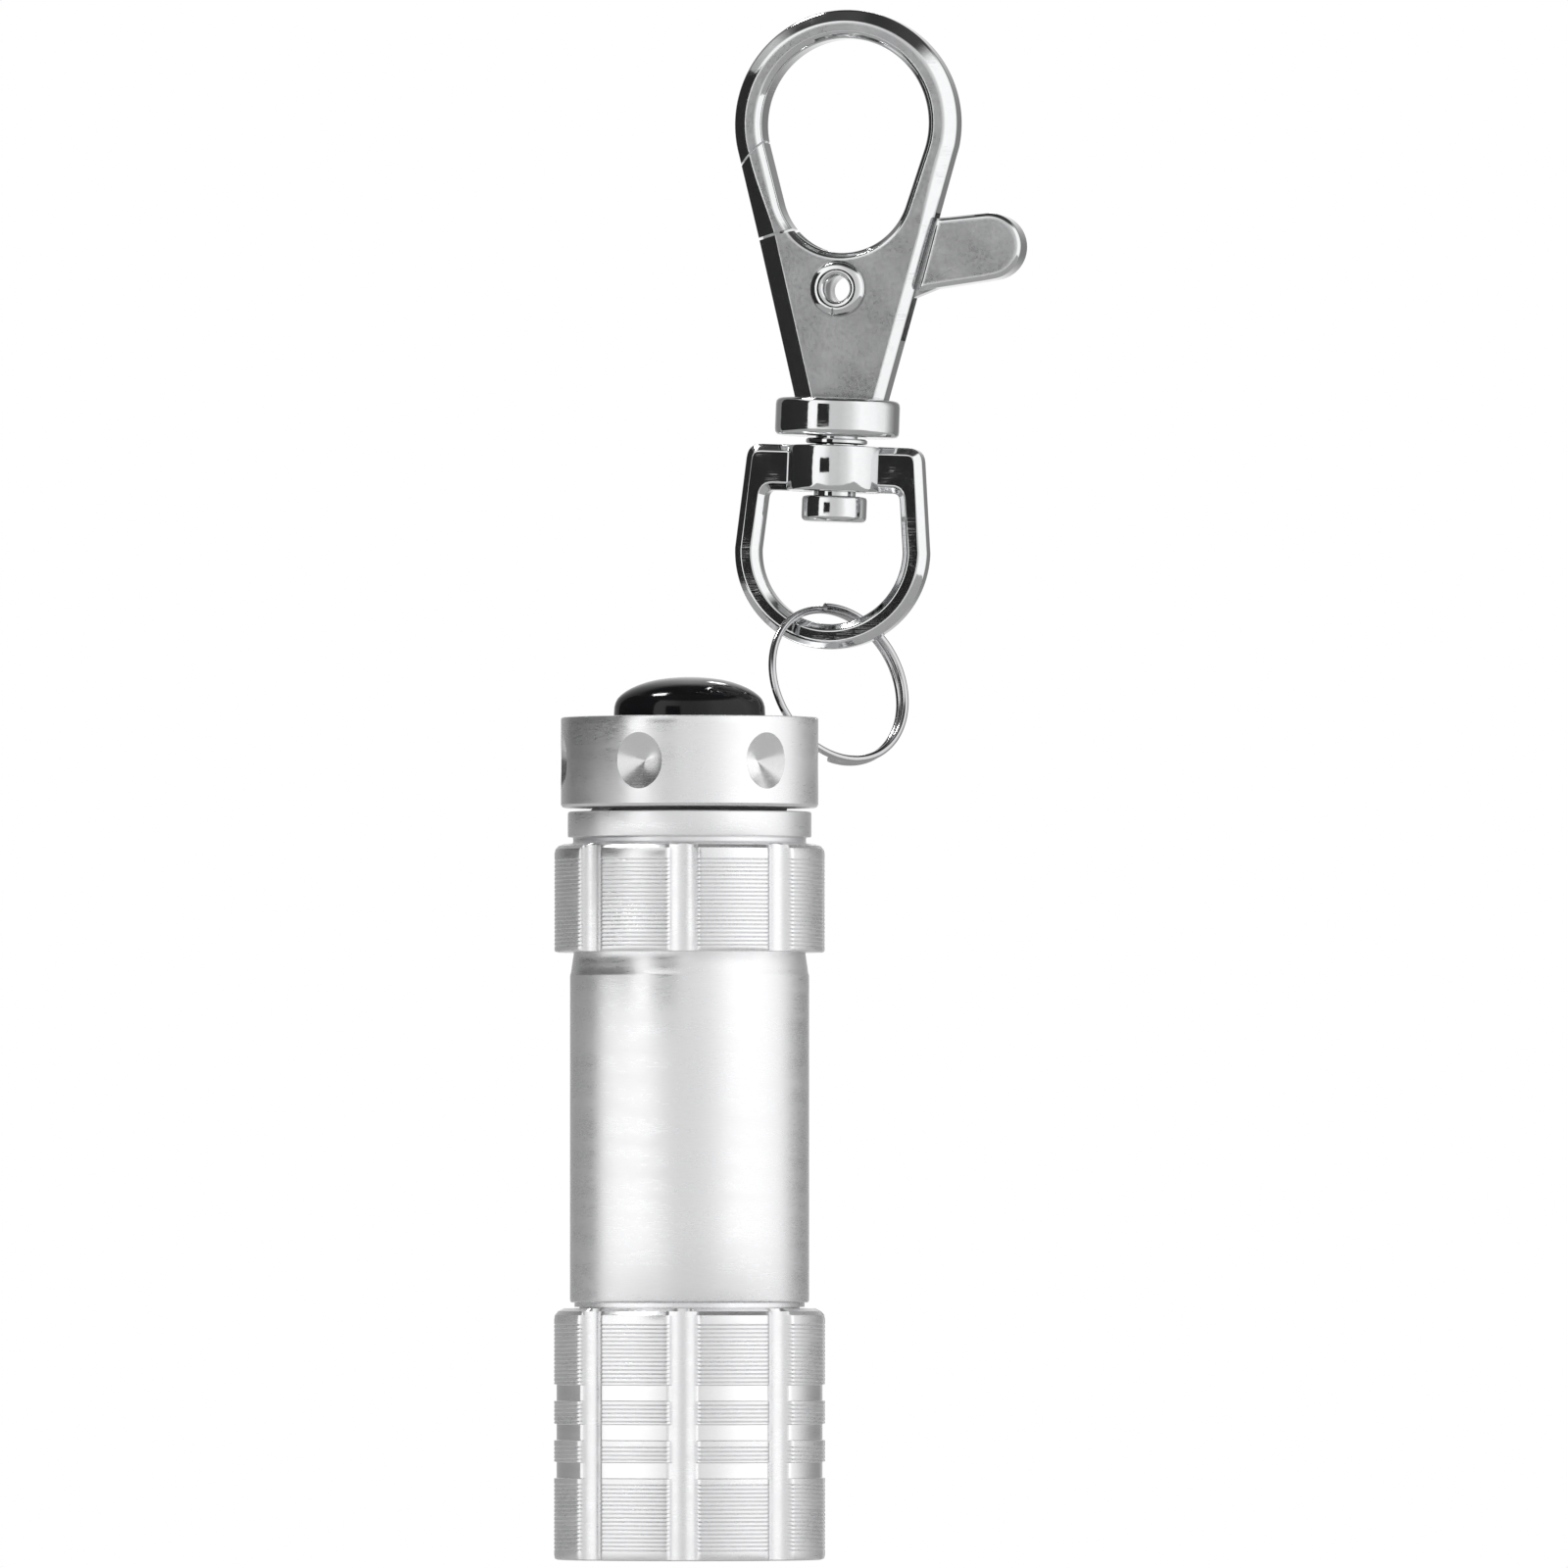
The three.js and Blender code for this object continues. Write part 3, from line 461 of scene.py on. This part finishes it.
# ---- Push button ----
# The button is one gloss black moulding with a low crowned top and a straight side.
# Its flange is trapped under the cap's lip, and it rides on the switch plunger.
gloss_black = finish_of("gloss_black_moulding", (0.008, 0.008, 0.009), 0.0, 0.09, 0.05, 0.3, 3500, 500,
                        (0.12, 0.00002))
gloss_black.node_tree.nodes["Principled BSDF"].inputs["Specular IOR Level"].default_value = 0.3
button_wall = [
    (0, 56.9), (1.3, 56.9), (1.3, 60.4), (4.3, 60.2), (4.5, 57.35), (6.1, 57.35), (6.1, 58.15), (5.43, 58.15),
    (5.41, 59.4), (5.4, 60.3), (5.37, 60.75), (5.29, 61.05), (5.15, 61.33), (4.92, 61.58), (4.6, 61.83),
    (4.2, 62.07), (3.7, 62.3), (3.1, 62.51), (2.4, 62.68), (1.6, 62.8), (0.8, 62.87), (0, 62.89),
]
piece(turned(button_wall, 160, closed=False), "push_button_cap", torch_place, [gloss_black], "button",
      ["push_button"], sharp=30)


# ---- Split ring ----
# A coil of hard, round, nickel-plated wire lies double for half of its turn, with both ends cut square.
# It is sprung open to thread it over the bow and through the hole in the cap's rim.
bright_wire = finish_of("nickel_wire", (0.6, 0.6, 0.61), 1.0, 0.13, 0.06, 0.08, 5000, 900, (0.15, 0.00001))
ring_turns, ring_pitch, ring_start, ring_wire_r = 1.55, 0.6, math.radians(22), 0.275
coil = bmesh.new()
bmesh.ops.create_circle(coil, cap_ends=False, segments=20, radius=ring_wire_r)
ring_steps = 250
moved(coil, Matrix.Rotation(math.pi / 2, 4, "X"), Matrix.Translation((ring_r, 0, 0)))
bmesh.ops.spin(coil, geom=coil.verts[:] + coil.edges[:], axis=(0, 0, 1), cent=(0, 0, 0),
               angle=ring_turns * math.tau, steps=ring_steps, dvec=(0, 0, ring_pitch * ring_turns / ring_steps))
bmesh.ops.holes_fill(coil, edges=coil.edges, sides=0)
bmesh.ops.recalc_face_normals(coil, faces=coil.faces)
ring_axes = Matrix((ring_up, ring_side, ring_normal)).transposed().to_4x4()
ring_place = (Matrix.Scale(0.001, 4) @ Matrix.Translation(ring_centre) @ ring_axes
              @ Matrix.Translation((0, 0, -ring_pitch * ring_turns / 2)) @ Matrix.Rotation(ring_start, 4, "Z"))
piece(coil, "split_ring_coil", ring_place, [bright_wire], "ring", ["split_ring"], sharp=50)


# ---- Swivel bow ----
# The bow is die cast in zinc and chrome plated: a D of squared wire under a bar with a round boss.
# The boss is bored for the swivel rivet, so the bow turns under the clasp.
clasp_z = Vector(joints["swivel"]["axis"]).normalized()
clasp_y = Vector(joints["trigger"]["axis"]).normalized()
clasp_x = clasp_y.cross(clasp_z)
clasp_place = Matrix.Scale(0.001, 4) @ Matrix((clasp_x, clasp_y, clasp_z)).transposed().to_4x4()
bow_centre_z, bow_top, bar_foot = -36.65, -29.15, -32.45
bow_r, bow_half, bow_wire, bow_thick = 7.05, 6.35, 1.8, 2.1


def arc(x, z, radius, start, end, count):
    """Points along an arc in x and z, angles in degrees."""
    turns = [math.radians(start + (end - start) * i / count) for i in range(count + 1)]
    return [Vector((x + radius * math.cos(t), 0, z + radius * math.sin(t))) for t in turns]


def line(start, end, count):
    """Points along a line in x and z, without its last one."""
    a, b = Vector((start[0], 0, start[1])), Vector((end[0], 0, end[1]))
    return [a.lerp(b, i / count) for i in range(count)]


def drawn_in(outline, amounts):
    """The closed outline moved inwards, square to itself, by each point's amount."""
    count = len(outline)
    result = []
    for i, point in enumerate(outline):
        before = (point - outline[i - 1]).normalized()
        after = (outline[(i + 1) % count] - point).normalized()
        inward = Vector((-(before.z + after.z), 0, before.x + after.x)).normalized()
        mitre = max(0.45, inward.dot(Vector((-before.z, 0, before.x))))
        result.append(point + inward * amounts[i] / mitre)
    return result


def lofted(sections, ring=False):
    """A skin drawn from each closed section to the next, filled at both ends or joined round."""
    bm = bmesh.new()
    order = bm.verts.layers.int.new("order")
    verts = [bm.verts.new(point) for point in sections[0]]
    for i, vert in enumerate(verts):
        vert[order] = i
    edges = [bm.edges.new((verts[i - 1], verts[i])) for i in range(len(verts))]
    for section in sections[1:] + sections[:1] * ring:
        grown = bmesh.ops.extrude_edge_only(bm, edges=edges)["geom"]
        fresh = {item for item in grown if isinstance(item, bmesh.types.BMVert)}
        for vert in fresh:
            vert.co = section[vert[order]]
        edges = [item for item in grown if isinstance(item, bmesh.types.BMEdge) and set(item.verts) <= fresh]
    bmesh.ops.remove_doubles(bm, verts=bm.verts, dist=0.0005)
    if not ring:
        bmesh.ops.holes_fill(bm, edges=[edge for edge in bm.edges if len(edge.link_faces) == 1], sides=0)
    bmesh.ops.recalc_face_normals(bm, faces=bm.faces)
    return bm


def at_depth(outline, y):
    """The outline set at one depth."""
    return [Vector((point.x, y, point.z)) for point in outline]


def rubbed(sections, radius, edge=0.04):
    """Rounds each corner of a frame's section into a short curve, with a line close by on both of its flats."""
    result = []
    for i, corner in enumerate(sections):
        before, after = sections[i - 1], sections[(i + 1) % len(sections)]
        rows = [[] for _ in range(6)]
        for p, a, b in zip(corner, before, after):
            start = p.lerp(a, min(0.4, radius / max((a - p).length, 1e-6)))
            end = p.lerp(b, min(0.4, radius / max((b - p).length, 1e-6)))
            rows[0].append(p.lerp(a, min(0.46, (radius + edge) / max((a - p).length, 1e-6))))
            rows[1].append(start)
            rows[2].append(start * 0.444 + p * 0.444 + end * 0.112)
            rows[3].append(start * 0.112 + p * 0.444 + end * 0.444)
            rows[4].append(end)
            rows[5].append(p.lerp(b, min(0.46, (radius + edge) / max((b - p).length, 1e-6))))
        result += rows
    return result


def bevelled_ring(outer, inner, half, outer_flat, inner_flat, outer_deep, inner_deep, radius=0.1):
    """A closed frame of wire: a flat front and back, a bevel along each of its four edges, and rubbed corners."""
    sections = [
        at_depth(outer_flat, -half), at_depth(outer, -half + outer_deep),
        at_depth(outer, half - outer_deep), at_depth(outer_flat, half),
        at_depth(inner_flat, half), at_depth(inner, half - inner_deep), at_depth(inner, -half + inner_deep),
        at_depth(inner_flat, -half),
    ]
    return lofted(rubbed(sections, radius), ring=True)


def bow_outline(radius, half_bar, top, corner):
    """The D seen from the front, with its two upper corners rounded."""
    foot, left = Vector((-radius, 0, bow_centre_z)), Vector((-half_bar, 0, top))
    start, end = left + Vector((corner, 0, 0)), left.lerp(foot, corner / (foot - left).length)
    bend = [start.lerp(left, t / 6).lerp(left.lerp(end, t / 6), t / 6) for t in range(7)]
    right_bend = [Vector((-p.x, 0, p.z)) for p in reversed(bend)]
    return (line((-start.x, top), (start.x, top), 12) + bend[:-1] + line((end.x, end.z), (-radius, bow_centre_z), 8)
            + arc(0, bow_centre_z, radius, 180, 360, 64)[:-1]
            + line((radius, bow_centre_z), (-end.x, end.z), 8) + right_bend[:-1])


chrome = finish_of("bright_chrome", (0.74, 0.745, 0.75), 1.0, 0.07, 0.07, 0.07, 2600, 420, (0.12, 0.00002),
                   scratch=0.6)


hazy_chrome = finish_of("hazy_chrome", (0.66, 0.665, 0.67), 1.0, 0.3, 0.12, 0.07, 4200, 380, (0.1, 0.00001),
                        scratch=0.12)


def hazy_flats(bm):
    """Gives the faces that lie square to the clasp's thickness the duller finish, and returns the skin."""
    for face in bm.faces:
        face.normal_update()
        if abs(face.normal.y) > 0.985:
            face.material_index = 1
    return bm


bow_outer = bow_outline(bow_r, bow_half, bow_top, 1.0)
bow_inner = bow_outline(bow_r - bow_wire, bow_half - 1.5, bar_foot, 0.5)
bow = bevelled_ring(bow_outer, bow_inner, bow_thick / 2, drawn_in(bow_outer, [0.5] * len(bow_outer)),
                    drawn_in(bow_inner, [-0.5] * len(bow_inner)), 0.45, 0.45)
piece(bow, "bow_frame", clasp_place, [chrome], "bow", ["swivel_bow"])

boss = [(1.58, bar_foot), (3.2, bar_foot), (3.42, bar_foot + 0.06), (3.5, bar_foot + 0.25), (3.5, bow_top - 0.25),
        (3.42, bow_top - 0.06), (3.2, bow_top), (1.58, bow_top)]
piece(turned(boss, 128), "bow_boss", clasp_place, [chrome], "bow", [], sharp=40)


# ---- Swivel rivet ----
# A headed steel pin runs down through the bow's boss, with a washer between boss and collar.
# Its upper end is riveted into the clasp's collar.
rivet = [
    (0, -34.6), (1.9, -34.6), (2.16, -34.54), (2.3, -34.38), (2.33, -34.2), (2.33, -33.0), (2.27, -32.82),
    (2.1, -32.75), (1.5, -32.75), (1.5, -29.05), (2.1, -29.02), (2.2, -28.94), (2.2, -28.74), (2.1, -28.64),
    (1.5, -28.6), (1.5, -26.5), (0, -26.5),
]
piece(turned(rivet, 96, closed=False), "rivet_pin", clasp_place, [chrome], "clasp", ["swivel_rivet"],
      sharp=40)


# ---- Hook frame ----
# The clasp's body is die cast in zinc and chrome plated: a round eye over a wedge with broad bevels, on a collar.
# A slot through its thickness takes the lever, and a gap in the eye's left side is closed by the gate.
eye_r, eye_limb, eye_low_r, eye_low_z, clasp_half = 6.1, 2.05, 4.85, -10.5, 1.5
collar_top, collar_foot, collar_r, pivot_z = -25.8, -28.5, 4.45, -17.95
eye_lean = math.degrees(math.asin((eye_r - eye_low_r) / (-eye_r - eye_low_z)))
eye_shape = (arc(0, -eye_r, eye_r, -eye_lean, 180 + eye_lean, 240)
             + arc(0, eye_low_z, eye_low_r, 180 + eye_lean, 360 - eye_lean, 160))
wedge_foot = -28.3
wedge_corners = [(-2.325, wedge_foot), (2.937, wedge_foot)]
body_shape = (arc(0, -eye_r, eye_r + eye_limb, -10, 194, 300) + line((-6.05, -14.6), wedge_corners[0], 40)
              + line(*wedge_corners, 20) + line(wedge_corners[1], (8.02, -7.52), 40))
hub = Vector((0, 0, -8.2))


def reach(shape, angle):
    """Where a ray from the eye's middle meets a closed shape."""
    ray = Vector((math.cos(angle), 0, math.sin(angle)))
    for i, end in enumerate(shape):
        start = shape[i - 1]
        edge = end - start
        cross = ray.x * edge.z - ray.z * edge.x
        if abs(cross) < 1e-9:
            continue
        gap = start - hub
        along = (gap.x * edge.z - gap.z * edge.x) / cross
        share = (gap.x * ray.z - gap.z * ray.x) / cross
        if along > 0 and -1e-6 <= share <= 1 + 1e-6:
            return hub + ray * along
    raise ValueError("the ray meets nothing")


def angle_to(x, z):
    """The direction of a point from the eye's middle."""
    return math.atan2(z - hub.z, x - hub.x) % math.tau


stations = sorted({round(i * math.tau / 168, 5) for i in range(168)}
                  | {round(angle_to(*corner), 5) for corner in [*wedge_corners, (-6.05, -14.6), (8.02, -7.52)]})
stations = [a for i, a in enumerate(stations) if a - stations[i - 1] > 0.004 or i == 0]
frame_outer = [reach(body_shape, a) for a in stations]
frame_inner = [reach(eye_shape, a) for a in stations]


def eased(value, low, high):
    """A smooth step from 0 at low to 1 at high."""
    share = min(1, max(0, (value - low) / (high - low)))
    return share * share * (3 - 2 * share)


# The outer bevel is middling round the eye, broad down the wedge's left side and narrow down its right.
eye_bevel, left_bevel, right_bevel, bevel_deep = 0.85, 1.35, 0.62, 0.64
outer_bevel = [eye_bevel + ((left_bevel if point.x < 0 else right_bevel) - eye_bevel) * eased(-point.z, 9, 15)
               for point in frame_outer]
frame_flat = drawn_in(frame_outer, outer_bevel)
# At the foot, inside the collar, the flat is drawn in sideways only, so its corners follow the wedge's bevels.
for i, point in enumerate(frame_outer):
    if point.z < wedge_foot + 0.01:
        frame_flat[i] = Vector((0.614 * point.x + 0.497, 0, wedge_foot + 0.02))


def clasp_ring():
    """The eye and wedge in one, before the lever's slot and the gate's gap are cut."""
    return bevelled_ring(frame_outer, frame_inner, clasp_half, frame_flat,
                         drawn_in(frame_inner, [-0.42] * len(frame_inner)), bevel_deep, 0.45, 0.16)


def slab(outline, half):
    """A plain block between y = -half and half, on a closed outline in x and z."""
    flat = [Vector((x, 0, z)) for x, z in outline]
    return lofted([at_depth(flat, -half), at_depth(flat, half)])


def rod(radius, long, x, z):
    """A rod across the clasp's thickness."""
    bm = bmesh.new()
    bmesh.ops.create_cone(bm, cap_ends=True, segments=64, radius1=radius, radius2=radius, depth=long)
    return moved(bm, Matrix.Rotation(math.pi / 2, 4, "X"), Matrix.Translation((x, 0, z)))


def gate_stretch(gap):
    """The stretch of the eye's left limb that the gate fills."""
    return slab([(-9.6, -11.35 + gap), (-5.0, -6.46 + gap), (-1.2, -11.0), (-1.2, -13.2 - gap), (-9.6, -15.7 - gap)], 4)


slot_cut = slab([(-12, -21.5), (12, -21.5), (12, -12.3), (-12, -12.3)], 0.75)
hook = cut(clasp_ring(), [gate_stretch(0), slot_cut, rod(1.38, 8, 0, pivot_z)])
piece(hazy_flats(hook), "hook_body", clasp_place, [chrome, hazy_chrome], "clasp", ["hook_frame"])

collar = [
    (0, collar_foot), (4.0, collar_foot), (4.28, collar_foot + 0.07), (4.42, collar_foot + 0.25),
    (collar_r, collar_foot + 0.5), (collar_r, collar_top - 0.5), (4.42, collar_top - 0.25),
    (4.28, collar_top - 0.07), (4.0, collar_top), (0, collar_top),
]
piece(turned(collar, 160, closed=False), "hook_collar", clasp_place, [chrome], "clasp", [], sharp=40)


# ---- Trigger lever ----
# One casting: the gate that closes the eye, a thin web in the frame's slot, and the thumb tab on the right.
# It turns on the eyelet, and a small coil spring under its web holds the gate shut.
gate = cut(clasp_ring(), [gate_stretch(-0.2)], "INTERSECT")
piece(hazy_flats(gate), "lever_gate", clasp_place, [chrome, hazy_chrome], "lever", ["trigger_lever"])

web_edge = [Vector((x, 0, z)) for x, z in ((-5.2, -17.2), (-1.6, -20.2), (2.6, -20.2), (4.9, -18.6), (7.9, -17.3),
                                           (8.2, -12.65), (5.2, -13.2))]
web_edge += arc(0, eye_low_z, eye_low_r + 0.9, -33, -142, 24) + [Vector((-5.9, 0, -13.9))]
web = cut(lofted([at_depth(web_edge, -0.6), at_depth(web_edge, 0.6)]), [rod(1.38, 8, 0, pivot_z)])
piece(hazy_flats(web), "lever_web", clasp_place, [chrome, hazy_chrome], "lever", [])

tab_edge = [*line((5.75, -17.9), (11.3, -16.92), 8), *arc(10.85, -14.58, 2.36, -79, 97, 28),
            *line((8.35, -12.52), (6.95, -12.7), 3), *line((6.95, -12.7), (5.75, -17.9), 6)]
layers = [(0.5, 1.3), (0.3, 1.3), (0.22, 1.27), (0.12, 1.2), (0.04, 1.1), (0, 0.96), (0, 0.9)]
layers += [(inset, -y) for inset, y in reversed(layers)]
tab = lofted([at_depth(drawn_in(tab_edge, [inset] * len(tab_edge)), -y) for inset, y in layers])
piece(hazy_flats(tab), "lever_tab", clasp_place, [chrome, hazy_chrome], "lever", [], sharp=40)

repaint(["lever_spring"], spring_steel)


# ---- Lever eyelet ----
# A hollow brass eyelet, chrome plated, is rolled over on both faces of the frame and pins the lever.
# Its rolled rim has one small split where the metal was stretched.
face_y = 1.55
rolled = [(0.95, face_y + 0.24), (1.02, face_y + 0.36), (1.16, face_y + 0.44), (1.34, face_y + 0.46),
          (1.56, face_y + 0.43), (1.76, face_y + 0.35), (1.92, face_y + 0.22), (2.0, face_y + 0.05)]
eyelet_wall = [(r, -y) for r, y in rolled] + [(1.3, -face_y), (1.3, face_y)] + [(r, y) for r, y in reversed(rolled)]
eyelet = turned(eyelet_wall, 96)
moved(eyelet, Matrix.Rotation(math.pi / 2, 4, "X"), Matrix.Translation((0, 0, pivot_z)))
split = slab([(-0.32, pivot_z - 2.2), (-0.2, pivot_z - 2.2), (-0.16, pivot_z - 1.42), (-0.26, pivot_z - 1.42)], 3)
eyelet = cut(eyelet, [split])
piece(eyelet, "eyelet_rim", clasp_place, [chrome], "clasp", ["lever_eyelet"], sharp=38)


# ---- Floor, light and camera ----
# The object hangs over a small plain floor in a white studio that is darker overhead.
# The floor is pale grey to reflections, lifted to white for the camera, and open from below.
floor_mesh = bpy.data.meshes.new("studio_floor")
floor_skin = bmesh.new()
bmesh.ops.create_grid(floor_skin, x_segments=1, y_segments=1, size=0.4)
floor_skin.transform(Matrix.Translation((0, 0, cad_low.z - 0.06)))
floor_skin.to_mesh(floor_mesh)
floor_skin.free()
floor = bpy.data.objects.new("studio_floor", floor_mesh)
bpy.context.scene.collection.objects.link(floor)
floor_paint = bpy.data.materials.new("floor_paint")
floor_paint.use_nodes = True
floor_paint.node_tree.nodes["Principled BSDF"].inputs["Base Color"].default_value = (0.68, 0.68, 0.68, 1)
floor_paint.node_tree.nodes["Principled BSDF"].inputs["Roughness"].default_value = 0.9
floor_tree = floor_paint.node_tree
floor_seen = node(floor_tree, "LightPath")
floor_lift = node(floor_tree, "Math", {0: floor_seen.outputs["Is Camera Ray"], 1: 0.74}, operation="MULTIPLY")
floor_tree.nodes["Principled BSDF"].inputs["Emission Color"].default_value = (1, 1, 1, 1)
floor_tree.links.new(floor_lift.outputs[0], floor_tree.nodes["Principled BSDF"].inputs["Emission Strength"])
floor_side = node(floor_tree, "NewGeometry")
floor_there = node(floor_tree, "Math", {0: 1.0, 1: floor_side.outputs["Backfacing"]}, operation="SUBTRACT")
floor_tree.links.new(floor_there.outputs[0], floor_tree.nodes["Principled BSDF"].inputs["Alpha"])
floor_mesh.materials.append(floor_paint)

# Two black flags stand beside the clasp, in front and to the left, for its polished faces to reflect.
flag_paint = bpy.data.materials.new("flag_paint")
flag_paint.use_nodes = True
flag_paint.node_tree.nodes["Principled BSDF"].inputs["Base Color"].default_value = (0.02, 0.02, 0.02, 1)
flag_paint.node_tree.nodes["Principled BSDF"].inputs["Roughness"].default_value = 0.8
for name, turn, away, wide, tall, middle in (("front_flag", -27, 0.25, 0.1, 0.075, -0.006),
                                             ("left_flag", -92, 0.08, 0.115, 0.09, -0.012)):
    turn = math.radians(turn)
    flag_skin = bmesh.new()
    bmesh.ops.create_grid(flag_skin, x_segments=1, y_segments=1, size=0.5)
    moved(flag_skin, Matrix.Diagonal((wide, tall, 1, 1)), Matrix.Rotation(math.pi / 2, 4, "X"),
          Matrix.Rotation(turn, 4, "Z"), Matrix.Translation((away * math.sin(turn), -away * math.cos(turn), middle)))
    flag_mesh = bpy.data.meshes.new(name)
    flag_skin.to_mesh(flag_mesh)
    flag_skin.free()
    flag_mesh.materials.append(flag_paint)
    flag = bpy.data.objects.new(name, flag_mesh)
    flag.visible_camera = False
    flag.visible_shadow = False
    flag.visible_diffuse = False
    bpy.context.scene.collection.objects.link(flag)

studio = bpy.data.worlds.new("studio")
bpy.context.scene.world = studio
studio.use_nodes = True
room = studio.node_tree
room.nodes.clear()
way = node(room, "SeparateXYZ", {"Vector": node(room, "TexCoord").outputs["Generated"]})
towards = node(room, "Math", {0: way.outputs["Y"], 1: -1.0}, operation="MULTIPLY")
azimuth = node(room, "Math", {0: way.outputs["X"], 1: towards.outputs[0]}, operation="ARCTAN2")
round_share = node(room, "MapRange", {"Value": azimuth.outputs[0], "From Min": -math.pi, "From Max": math.pi})
walls = node(room, "ValToRGB", {"Fac": round_share.outputs["Result"]})
wall_tones = [
    (-180, 0.8), (-166, 0.35), (-150, 0.2), (-104, 0.2), (-92, 0.8), (-76, 0.95), (-46, 1.05), (-30, 0.95),
    (-14, 0.62), (6, 0.6), (24, 0.72), (44, 1.05), (72, 1.0), (98, 0.85), (116, 0.4), (132, 0.2), (155, 0.2),
    (180, 0.8),
]
stops = walls.color_ramp.elements
for degrees, tone_value in wall_tones[1:-1]:
    stops.new((degrees + 180) / 360)
for stop, (degrees, tone_value) in zip(stops, wall_tones):
    stop.position = (degrees + 180) / 360
    stop.color = (tone_value, tone_value, tone_value, 1)
overhead = node(room, "MapRange", {"Value": way.outputs["Z"], "From Min": 0.62, "From Max": 0.8, "To Min": 1.0,
                                   "To Max": 0.06}, interpolation_type="SMOOTHSTEP")
shaded = node(room, "VectorMath", {0: walls.outputs["Color"], "Scale": overhead.outputs["Result"]}, operation="SCALE")
reflected = node(room, "Background", {"Color": shaded.outputs["Vector"], "Strength": 1.22})
seen = node(room, "Background", {"Color": (1, 1, 1, 1), "Strength": 1.0})
path = node(room, "LightPath")
chosen = node(room, "MixShader", {0: path.outputs["Is Camera Ray"], 1: reflected.outputs[0], 2: seen.outputs[0]})
node(room, "OutputWorld", {"Surface": chosen.outputs[0]})

overhead_lamp = bpy.data.lights.new("overhead_softbox", "SUN")
overhead_lamp.energy = 0.7
overhead_lamp.angle = 1.5
overhead_light = bpy.data.objects.new("overhead_softbox", overhead_lamp)
overhead_light.visible_glossy = False
bpy.context.scene.collection.objects.link(overhead_light)

# Two small lamps behind and above put glints on the button's shoulder.
button_top = Vector((torch_axis.x, torch_axis.y, torch_foot + 0.061))
for number, (way_up, power, wide) in enumerate((((-0.39, 0.187, 0.902), 0.4, 0.06),
                                                ((0.10, 0.862, 0.497), 0.012, 0.02)), 1):
    glint_data = bpy.data.lights.new(f"glint_{number}", "AREA")
    glint_data.energy = power
    glint_data.size = wide
    glint = bpy.data.objects.new(f"glint_{number}", glint_data)
    glint.location = button_top + Vector(way_up) * 0.3
    glint.rotation_euler = (-Vector(way_up)).to_track_quat("-Z", "Y").to_euler()
    glint.visible_diffuse = False
    bpy.context.scene.collection.objects.link(glint)

view_point = Vector(((cad_low.x + cad_high.x) / 2 - 0.0005, 0, (cad_low.z + cad_high.z) / 2))
camera_data = bpy.data.cameras.new("camera")
camera_data.lens = 587
camera_data.sensor_width = 36
camera_data.clip_start = 0.01
camera = bpy.data.objects.new("camera", camera_data)
bpy.context.scene.collection.objects.link(camera)
camera.location = view_point + Vector((0, -1.827, -0.0329))
camera.rotation_euler = (view_point - camera.location).to_track_quat("-Z", "Y").to_euler()
bpy.context.scene.camera = camera
bpy.context.scene.view_settings.view_transform = "Standard"
